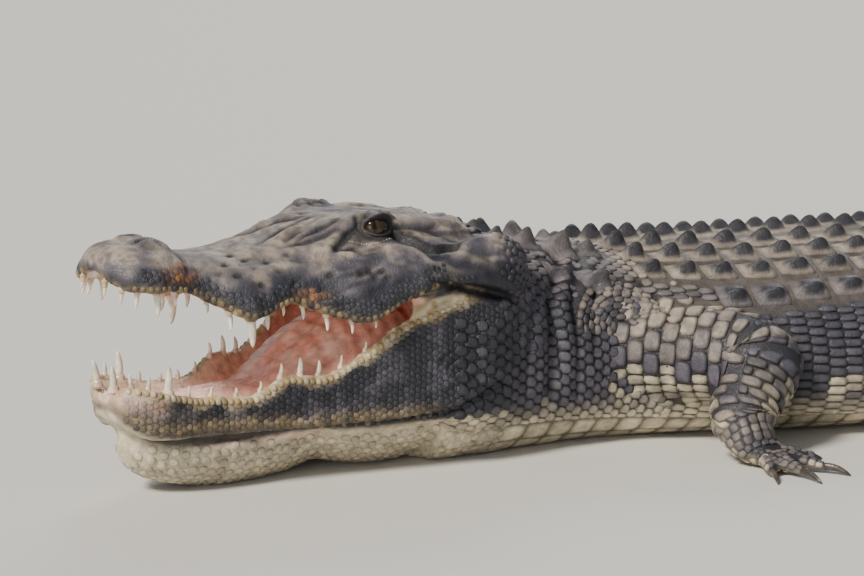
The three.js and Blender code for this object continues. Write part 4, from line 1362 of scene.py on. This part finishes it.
shoulderArcs = {"first": 13, "last": 70, "pitch": 8.2, "width": 12.5, "start": 12, "turn": 156}
arcCoat = Coat("shoulderScales", reach=9, seed=12)
radii = np.arange(shoulderArcs["first"], shoulderArcs["last"], shoulderArcs["pitch"])
for ring, radius in enumerate(radii):
    count = int(math.pi * 0.86 * radius / shoulderArcs["width"])
    for n in range(count + 1):
        share = (n + 0.5 * (ring % 2)) / max(1, count)
        turn = math.radians(shoulderArcs["start"] + shoulderArcs["turn"] * share)
        for side in (1, -1):
            u = shoulder["at"][0] + radius * math.cos(turn)
            z = shoulder["at"][2] + radius * 0.92 * math.sin(turn)
            outward = beside(u, side, 0.42) - beside(u, 0, 0)
            outward = outward / np.linalg.norm(outward)
            ahead = beside(u, 0, math.cos(turn)) - beside(u + math.sin(turn), 0, 0)
            seed = beside(u, side * 150, z) + outward * 60
            arcCoat.lay(tile, seed, outward, ahead, 6.6, 4.3, height=3.4, dome=0.6, tone="tan",
                        toned=arcCoat.luck.uniform(0, 0.4), root=bodyRoot(u, side * z / 3))
arcCoat.finish(scaleLook)
flankCoat.finish(scaleLook)
bellyCoat.finish(scaleLook)


def limbStations(limb, first, last, step):
    # values of t at equal steps of length
    lengths = np.concatenate([[0], np.cumsum(np.linalg.norm(np.diff(limb.line, axis=0), axis=1))])
    a, b = np.interp([first, last], limb.samples, lengths)
    count = max(1, round((b - a) / step))
    return np.interp(np.linspace(a, b, count + 1), lengths, limb.samples)


def bandCells(limb, first, last, pitch, width, low, high, stagger=0.5):
    # cells of bands across a limb: place along it, its length per step of t there, angle, half angle
    for n, t in enumerate(limbStations(limb, first, last, pitch)):
        speed = np.linalg.norm(limb.point(t + 0.02, 0) - limb.point(t - 0.02, 0)) / 0.04
        for angle, half in ringCells(limb.point, t, low, high, width, stagger * (n % 2)):
            yield t, speed, angle, half


def limbRoot(k, t, angle):
    return 0.82 + 0.16 * t / 3, 0.02 + 0.24 * k + 0.22 * (angle % 360) / 360


def limbTone(angle, t, luck):
    # the tone of a scale on a leg and how much of it: pale below, painted top light of tan above, dark outside
    above = math.cos(math.radians(angle))
    if above < -0.3:
        return "cream", luck.uniform(0.45, 0.85)
    # painted top light: tan on the scales that face up, down to the elbow or knee
    if above > 0.1 and t < 1.1:
        return "tan", (0.3 + 0.5 * above) * luck.uniform(0.55, 1.0)
    if t > 1.3:
        return "tan", luck.uniform(0.05, 0.45)
    return "purpleGrey", luck.uniform(0.4, 1.0)


# first and last place, pitch and width: shingled plates down to the elbow or knee, bands below it
limbBands = [(0.1, 1.06, 17, 27), (1.12, 2.1, 10.5, 26)]
palmCells = {"first": 2.16, "last": 2.96, "pitch": 10, "width": 12, "reach": 110, "half": 6.4}
toeCells = {"pitch": 8, "width": 9, "reach": 100, "half": 4.4}
legWidth = 1.12  # wider on the hind legs
limbCoat = Coat("limbScales", reach=15, seed=8)
luck = limbCoat.luck
for k, (name, limb) in enumerate(limbs.items()):
    limbCoat.point = limb.point
    for first, last, pitch, width in limbBands:
        width *= legWidth if "Leg" in name else 1
        for t, speed, angle, half in bandCells(limb, first, last, pitch, width, 0, 360):
            below = math.cos(math.radians(angle)) < -0.3
            tone, toned = limbTone(angle, t, luck)
            template, look = (tile, {"height": 1.8, "tilt": 0.2}) if below else (
                plate, {"height": 2.4, "tilt": 0.75})
            for at, share in ((-0.5, 0.5), (0.5, 0.5)) if below else ((0, 1),):
                limbCoat.add(template, t, angle + at * half, pitch * 0.6 / speed, half * share * 0.98,
                             dome=0.35, shade=0.6, tone=tone, toned=toned, root=limbRoot(k, t, angle), **look)
    reach = palmCells["reach"]
    for t, speed, angle, half in bandCells(limb, palmCells["first"], palmCells["last"], palmCells["pitch"],
                                           palmCells["width"], -reach, reach):
        limbCoat.add(tile, t, angle, palmCells["half"] / speed, half * 0.95, height=1.5, tilt=0.4,
                     root=limbRoot(k, t, angle), tone="warmGrey", toned=luck.uniform(0.1, 0.7))
    reach = toeCells["reach"]
    for n, (toe, way) in enumerate(toes[name]):
        limbCoat.point = toe.point
        for t, speed, angle, half in bandCells(toe, 1.0, toe.samples[-1] * 0.97, toeCells["pitch"],
                                               toeCells["width"], -reach, reach, 0):
            root = (0.47 + 0.32 * t / 5, 0.02 + 0.1 * k + 0.02 * n + 0.015 * (angle + 100) / 200)
            limbCoat.add(tile, t, angle, toeCells["half"] / speed, half * 0.95, height=1.2, tilt=0.4, sink=1,
                         root=root, tone="warmGrey", toned=luck.uniform(0.1, 0.7))
limbCoat.finish(scaleLook)

fillSpacing = 8.5
fillCoat = Coat("fillScales", reach=9, seed=14)


def fillGaps(coat, laidCoats, spacing):
    # small scales wherever the larger ones leave the skin bare
    covered = np.concatenate([place for laid in laidCoats for place in laid.places])
    tree = KDTree(len(covered))
    for n, place in enumerate(covered):
        tree.insert(place, n)
    tree.balance()
    centres = toLocal(vectors(skin.data.polygons, "center"))
    ways = vectors(skin.data.polygons, "normal")
    s = headPlace(centres)[0]
    around = [np.array(way) for way in itertools.product((-1, 0, 1), repeat=3)]
    taken = {}
    for n in np.flatnonzero(((s > 452) | (centres[:, 0] > 40)) & (centres[:, 2] > 1.5)):
        place = centres[n]
        if tree.find(place)[2] < spacing * 0.72:
            continue
        key = (place // spacing).astype(int)
        others = [taken.get(tuple(key + way)) for way in around]
        if any(other is not None and np.linalg.norm(other - place) < spacing for other in others):
            continue
        taken[tuple(key)] = place
        ahead = np.cross(ways[n], (0.3, 0.2, 1))
        u, out = bodyPlace(place[None])
        root = bodyRoot(float(u[0]), float(np.clip(out[0], -170, 170)))
        coat.lay(pebble, place + ways[n] * 20, ways[n], ahead, spacing * 0.56, spacing * 0.52, height=1.6,
                 root=root)


fillGaps(fillCoat, [backCoat, flankCoat, bellyCoat, arcCoat, limbCoat], fillSpacing)
fillCoat.finish(scaleLook)

headCoat = Coat("headScales", reach=9, seed=9)
headLuck = headCoat.luck
backWay = headPoint(1, 0, 0) - headPoint(0, 0, 0)
leftWay = headPoint(0, 1, 0) - headPoint(0, 0, 0)
clearance = 46  # how far beside the head a scale starts before it is laid


def headRoot(s, turn):
    return 0.47 + 0.32 * s / 480, 0.5 + 0.45 * turn


def heightAt(table, column, lift):
    return lambda s: float(station(table, s)[column]) + lift


def sideScales(first, last, lowAt, highAt, pitch, size, height):
    # small scales on the sides of the head between two heights
    for n, s in enumerate(np.arange(first, last, pitch * 0.88), 1):
        for z in np.arange(lowAt(s) + pitch * (0.5 * (n % 2)), highAt(s), pitch):
            for side in (1, -1):
                place = (s + headLuck.uniform(-0.8, 0.8), z + headLuck.uniform(-0.8, 0.8))
                seed = headPoint(place[0], side * (float(station(craniumTable, s)[0]) + clearance), place[1])
                wide = size * headLuck.uniform(0.95, 1.2)
                headCoat.lay(pebble, seed, side * leftWay, backWay, wide, size * 1.05, height=height,
                             sink=0.8, dome=0.4, root=headRoot(s, side * (z - 40) / 260))


sideScales(230, 350, heightAt(craniumTable, 1, 6), heightAt(craniumTable, 1, 26), 5.8, 2.9, 0.5)
sideScales(444, 486, lambda s: 120, lambda s: 236, 9, 4.6, 1.4)
sideScales(30, 230, heightAt(craniumTable, 1, 12), heightAt(craniumTable, 1, 26), 7.0, 3.5, 0.5)
sideScales(20, 440, heightAt(mandibleTable, 2, 6), heightAt(mandibleTable, 1, -9), 6.8, 3.4, 0.7)

# a row of beads along each lip, smaller by the corner of the mouth
lipBeads = {"first": 22, "last": 384, "pitch": 6.6, "long": 3.5, "corner": 0.62}
for s in np.arange(lipBeads["first"], lipBeads["last"], lipBeads["pitch"]):
    small = mix(1, lipBeads["corner"], float(smooth(s, 300, 350)))
    for side in (1, -1):
        for table, lift, wide, height, turn in ((craniumTable, 4.5, 4.2, 1.7, 0.78),
                                                (mandibleTable, -4.5, 4.4, 2.2, 0.35)):
            half, edge = station(table, s)[:2]
            seed = headPoint(s, side * (half + clearance), edge + lift)
            headCoat.lay(pebble, seed, side * leftWay, backWay, lipBeads["long"], wide * small,
                         height=height * small, sink=1, shade=0.35, root=headRoot(s, side * turn))

# the pale margin of the lower lid: order, s, left, height
lidBeads = [(0, 270, 73, 251), (1, 276, 77, 249), (2, 288, 80, 246), (3, 298, 83, 248), (4, 316, 79, 250)]
for s, left, z in station(lidBeads, np.linspace(0, 4, 21)).T:
    for side in (1, -1):
        away = side * leftWay * 0.9 + np.array([0, 0, 0.3])
        seed = headPoint(s, side * left, z + headLuck.uniform(-0.7, 0.7)) + away * 20
        headCoat.lay(pebble, seed, away, backWay, 1.5, headLuck.uniform(1.2, 1.9), height=1.0, sink=1,
                     tone="cream", toned=headLuck.uniform(0.08, 0.34), root=headRoot(s, side * 0.9))

throat = {"first": 40, "last": 446, "pitch": 10.5, "width": 11.5, "axis": 74, "lastTurn": 96}
underJaw = heightAt(mandibleTable, 2, -9)
for row, s in enumerate(np.arange(throat["first"], throat["last"], throat["pitch"]), 1):
    axis = headPoint(s, 0, throat["axis"])
    for side in (1, -1):
        turn = 3 + 2 * (row % 2)
        while turn < throat["lastTurn"]:
            a = math.radians(turn)
            way = side * leftWay * math.sin(a) - np.array([0, 0, math.cos(a)])
            hit = skinTree.ray_cast(Vector(toRow(axis + way * 150)), Vector(-way), 0.15)[0]
            far = max(24, np.linalg.norm(toLocal(hit) - axis)) if hit else 60
            if hit is None or toLocal(hit)[2] < underJaw(s):
                headCoat.lay(pebble, axis + way * 150, way, backWay, 5.8, 5.6, height=1.5, sink=1,
                             root=headRoot(s, side * turn / 300))
            turn += math.degrees(throat["width"] / far)
headCoat.finish(scaleLook)
print("scales laid")


def pieceObject(name, bms, tone, material, wet=0.0):
    # closed forms as one finished piece, coloured by a function of the places
    made = meshObject(name, join(bms))
    vertices = made.data.vertices
    writeTint(made.data, tone(toLocal(vectors(vertices, "co"))))
    writeWet(made.data, np.full(len(vertices), wet))
    dress(made, material)
    return made


def socket(s, length, upper):
    # of a tooth: how far it stands beside the middle, the height of its jaw's edge, its way and width
    table, inset, down = (craniumTable, 11, -1) if upper else (mandibleTable, 9, 1)
    half, edge = (float(v) for v in station(table, s)[:2])
    return max(5, half - inset), edge, down, max(3.6, length * 0.29)


def toothForm(s, side, length, upper):
    left, edge, down, width = socket(s, length, upper)
    lean = 3 if s < 30 else 0
    wave = 1.2 if s > 30 else 0

    def form(t, turn, radius):
        reach = mix(-7, length, t)
        rise = clampTo(reach, 0, length)
        thick = width * 0.5 * 1.12 * np.sqrt(np.maximum(0.0, 1 - rise ** 1.7)) * radius
        round = turn * 2 * math.pi
        bend = rise ** 1.6
        return headPoint(s - lean * bend + wave * np.sin(rise * 3) + thick * np.cos(round),
                         side * (left + min(3, length * 0.12) * bend + thick * 0.9 * np.sin(round)),
                         edge + down * reach)

    return wrap(14, 12, form)


def gumForm(s, side, length, upper):
    left, edge, down, width = socket(s, length, upper)

    def form(t, turn, radius):
        round = turn * 2 * math.pi
        height = mix(-5, 2.6, t)
        thick = width * 0.5 * mix(1.9, 1.18, t ** 2) * radius
        out = side * (left + thick * np.sin(round))
        return headPoint(s + thick * np.cos(round), out, edge + down * height)

    return wrap(8, 12, form)


def toothTone(points):
    s, left, z = headPlace(points)
    lip, rim = station(craniumTable, s)[1], station(mandibleTable, s)[1]
    root = np.where(z > (lip + rim) / 2, smooth(lip - z, 7, -2), smooth(z - rim, 7, -2))
    stained = np.clip(noiseAt(points, 9, 11.0), 0, 1) * 0.6
    return lay(lay(plainTone(points, "ivory"), "amber", root * 0.45), "yellow", stained)


def gumTone(points):
    return lay(plainTone(points, "palePink"), "yellow", 0.35 + noiseAt(points, 9, 12.0) * 0.8)


ivory = hideMaterial("ivory", 0.24, 20, 0.06, gloss=0.35)
fleshLook = hideMaterial("fleshLook", 0.3, 5, 0.3, gloss=0.5)
toothPlaces = [(s, side, length, upper) for upper, row in ((True, upperTeeth), (False, lowerTeeth))
               for s, length in row for side in (1, -1)]
pieceObject("teeth", [toothForm(*place) for place in toothPlaces], toothTone, ivory)
pieceObject("gums", [gumForm(*place) for place in toothPlaces], gumTone, fleshLook, wet=0.7)

tongueRise = [(150, 8), (185, 20), (225, 42), (262, 58), (305, 66), (345, 54), (384, 24)]


def tongueForm(t, turn, radius):
    s = mix(150, 384, t)
    round = np.sqrt(np.maximum(0.02, 1 - np.abs(2 * t - 1) ** 3))
    half, rim, low, floor = station(mandibleTable, s)
    side = np.minimum(78, half - 24) * round
    high = station(tongueRise, s)[0] * round
    angle = turn * 2 * math.pi
    x, up = np.sin(angle) * radius, np.cos(angle) * radius
    left = side * np.sign(x) * np.abs(x) ** 0.8
    top = np.where(up > 0, high * np.abs(up) ** 0.85, -9 * np.abs(up))
    groove = -4.5 * hump(left, 0, 7) * (up > 0) * smooth(t, 0.02, 0.3)
    folds = 1.2 * np.sin(s * 0.33 + np.abs(left) * 0.05) * (up > 0.1) * radius
    return headPoint(s, left, floor + 0.5 + top + groove + folds)


def tongueTone(points):
    return lay(plainTone(points, "pink"), "palePink", 0.5 + noiseAt(points, 22, 13.0) * 1.2) * 0.96


tongueFlesh = pieceObject("tongueFlesh", [wrap(72, 56, tongueForm)], tongueTone, fleshLook, wet=1.0)
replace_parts(tongueFlesh, "tongue")


def eyeball(side):
    bm = bmesh.new()
    radius = eye["radius"] - 0.6
    bmesh.ops.create_uvsphere(bm, u_segments=48, v_segments=32, radius=radius)
    p = np.array([vert.co[:] for vert in bm.verts])
    # the pole is the pupil, turned outwards, a little forwards and up
    out, up = p[:, 2], p[:, 1]
    cornea = 1 + 0.09 * smooth(out / radius, 0.74, 0.95)
    along = p[:, 0] * cornea
    out, up = out * cornea, up * cornea
    forward = along * 0.86 + out * 0.5
    outward = out * 0.85 - along * 0.49
    left = side * (eye["side"] + outward - up * 0.2)
    moveVerts(bm, headPoint(eye["at"] - forward, left, eye["height"] + up + out * 0.2))
    faceOut(bm)
    return bm, np.stack([along, up, out], -1)


eyeLook = hideMaterial("eyeLook", 0.16, 30, 0.0, gloss=0.35)
eyeLook.node_tree.nodes["Principled BSDF"].inputs["Specular IOR Level"].default_value = 0.25
for side, name, node in ((1, "eyeballLeft", "eye_left"), (-1, "eyeballRight", "eye_right")):
    ball, gaze = eyeball(side)
    away = np.hypot(gaze[:, 0], gaze[:, 1])
    iris = smooth(away, 11.5, 10.2) * (gaze[:, 2] > 0)
    # an upright slit, 2.1 mm to each side at its widest
    pupil = iris * smooth(np.abs(gaze[:, 0]) - 2.1 * np.clip(1 - (gaze[:, 1] / 9.2) ** 2, 0, 1), 0.7, -0.4)
    ring = iris * smooth(away, 9.4, 10.6)
    colour = lay(lay(plainTone(gaze, "eyeEdge"), "iris", iris), "pupil", np.clip(pupil + ring, 0, 1))
    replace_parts(pieceObject(name, [ball], lambda points: colour, eyeLook), node)


def clawForm(toe, way, size):
    tip = toe.line[-1]

    def form(t, turn, radius):
        reach = mix(-6, 24, t)
        thick = size * 0.42 * np.sqrt(np.maximum(0.0, 1 - clampTo(reach, 0, 24) ** 1.5)) * radius
        round = turn * 2 * math.pi
        across = np.array([way[1], -way[0], 0])
        drop = -0.0125 * np.maximum(reach, 0) ** 2 + 1.0
        place = tip + way * reach[:, None] + across * (thick * np.cos(round) * 0.72)[:, None]
        place[:, 2] = np.maximum(tip[2] + drop + thick * np.sin(round), 0.2)
        return place

    return wrap(16, 12, form)


def clawTone(points):
    return plainTone(points, "horn") * (1 + 1.6 * np.clip(noiseAt(points, 7, 14.0), 0, 1))[:, None]


clawed = 3  # digits of each foot with a claw
clawLook = hideMaterial("clawLook", 0.34, 12, 0.15, gloss=0.2)
claws = [clawForm(toe, way, legs[name]["toe"]) for name in legs for toe, way in toes[name][:clawed]]
pieceObject("claws", claws, clawTone, clawLook)
print("teeth, tongue, eyes and claws made")

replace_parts(skin, *[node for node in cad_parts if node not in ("eye_left", "eye_right", "tongue")])

studio = {"floorSize": 60, "keyPower": 4.9, "fillPower": 0.75, "rimPower": 0.7, "sky": 0.35}
floorMesh = bmesh.new()
bmesh.ops.create_grid(floorMesh, x_segments=1, y_segments=1, size=studio["floorSize"] / 2)
floor = meshObject("floor", floorMesh)
pale = bpy.data.materials.new("paleFloor")
pale.use_nodes = True
pale.node_tree.nodes["Principled BSDF"].inputs["Base Color"].default_value = (0.62, 0.61, 0.58, 1)
pale.node_tree.nodes["Principled BSDF"].inputs["Roughness"].default_value = 0.8
floor.data.materials.append(pale)

camera = bpy.data.cameras.new("camera")
camera.lens, camera.sensor_width = 100, 36
cameraObject = bpy.data.objects.new("camera", camera)
bpy.context.scene.collection.objects.link(cameraObject)
cameraObject.location = toRow((-786, -2520, 640))
cameraObject.rotation_euler = (math.radians(80), 0, math.radians(-17.4))
bpy.context.scene.camera = cameraObject

world = bpy.data.worlds.new("world")
world.use_nodes = True
world.node_tree.nodes["Background"].inputs["Color"].default_value = (0.78, 0.84, 0.92, 1)
world.node_tree.nodes["Background"].inputs["Strength"].default_value = studio["sky"]
bpy.context.scene.world = world


def softSun(name, power, spread, place, tone):
    lamp = bpy.data.lights.new(name, "SUN")
    lamp.energy, lamp.angle, lamp.color = power, math.radians(spread), tone
    lampObject = bpy.data.objects.new(name, lamp)
    bpy.context.scene.collection.objects.link(lampObject)
    lampObject.location = toRow(place)
    aim = Vector(toRow((-100, 0, 100))) - lampObject.location
    lampObject.rotation_euler = aim.to_track_quat("-Z", "Y").to_euler()


softSun("key", studio["keyPower"], 14, (-2200, -1300, 2500), (1, 0.93, 0.83))
softSun("fill", studio["fillPower"], 30, (-2300, -2300, 500), (1, 0.95, 0.9))
softSun("rim", studio["rimPower"], 20, (900, 2400, 1700), (0.92, 0.96, 1))

print("stage and lamps set")
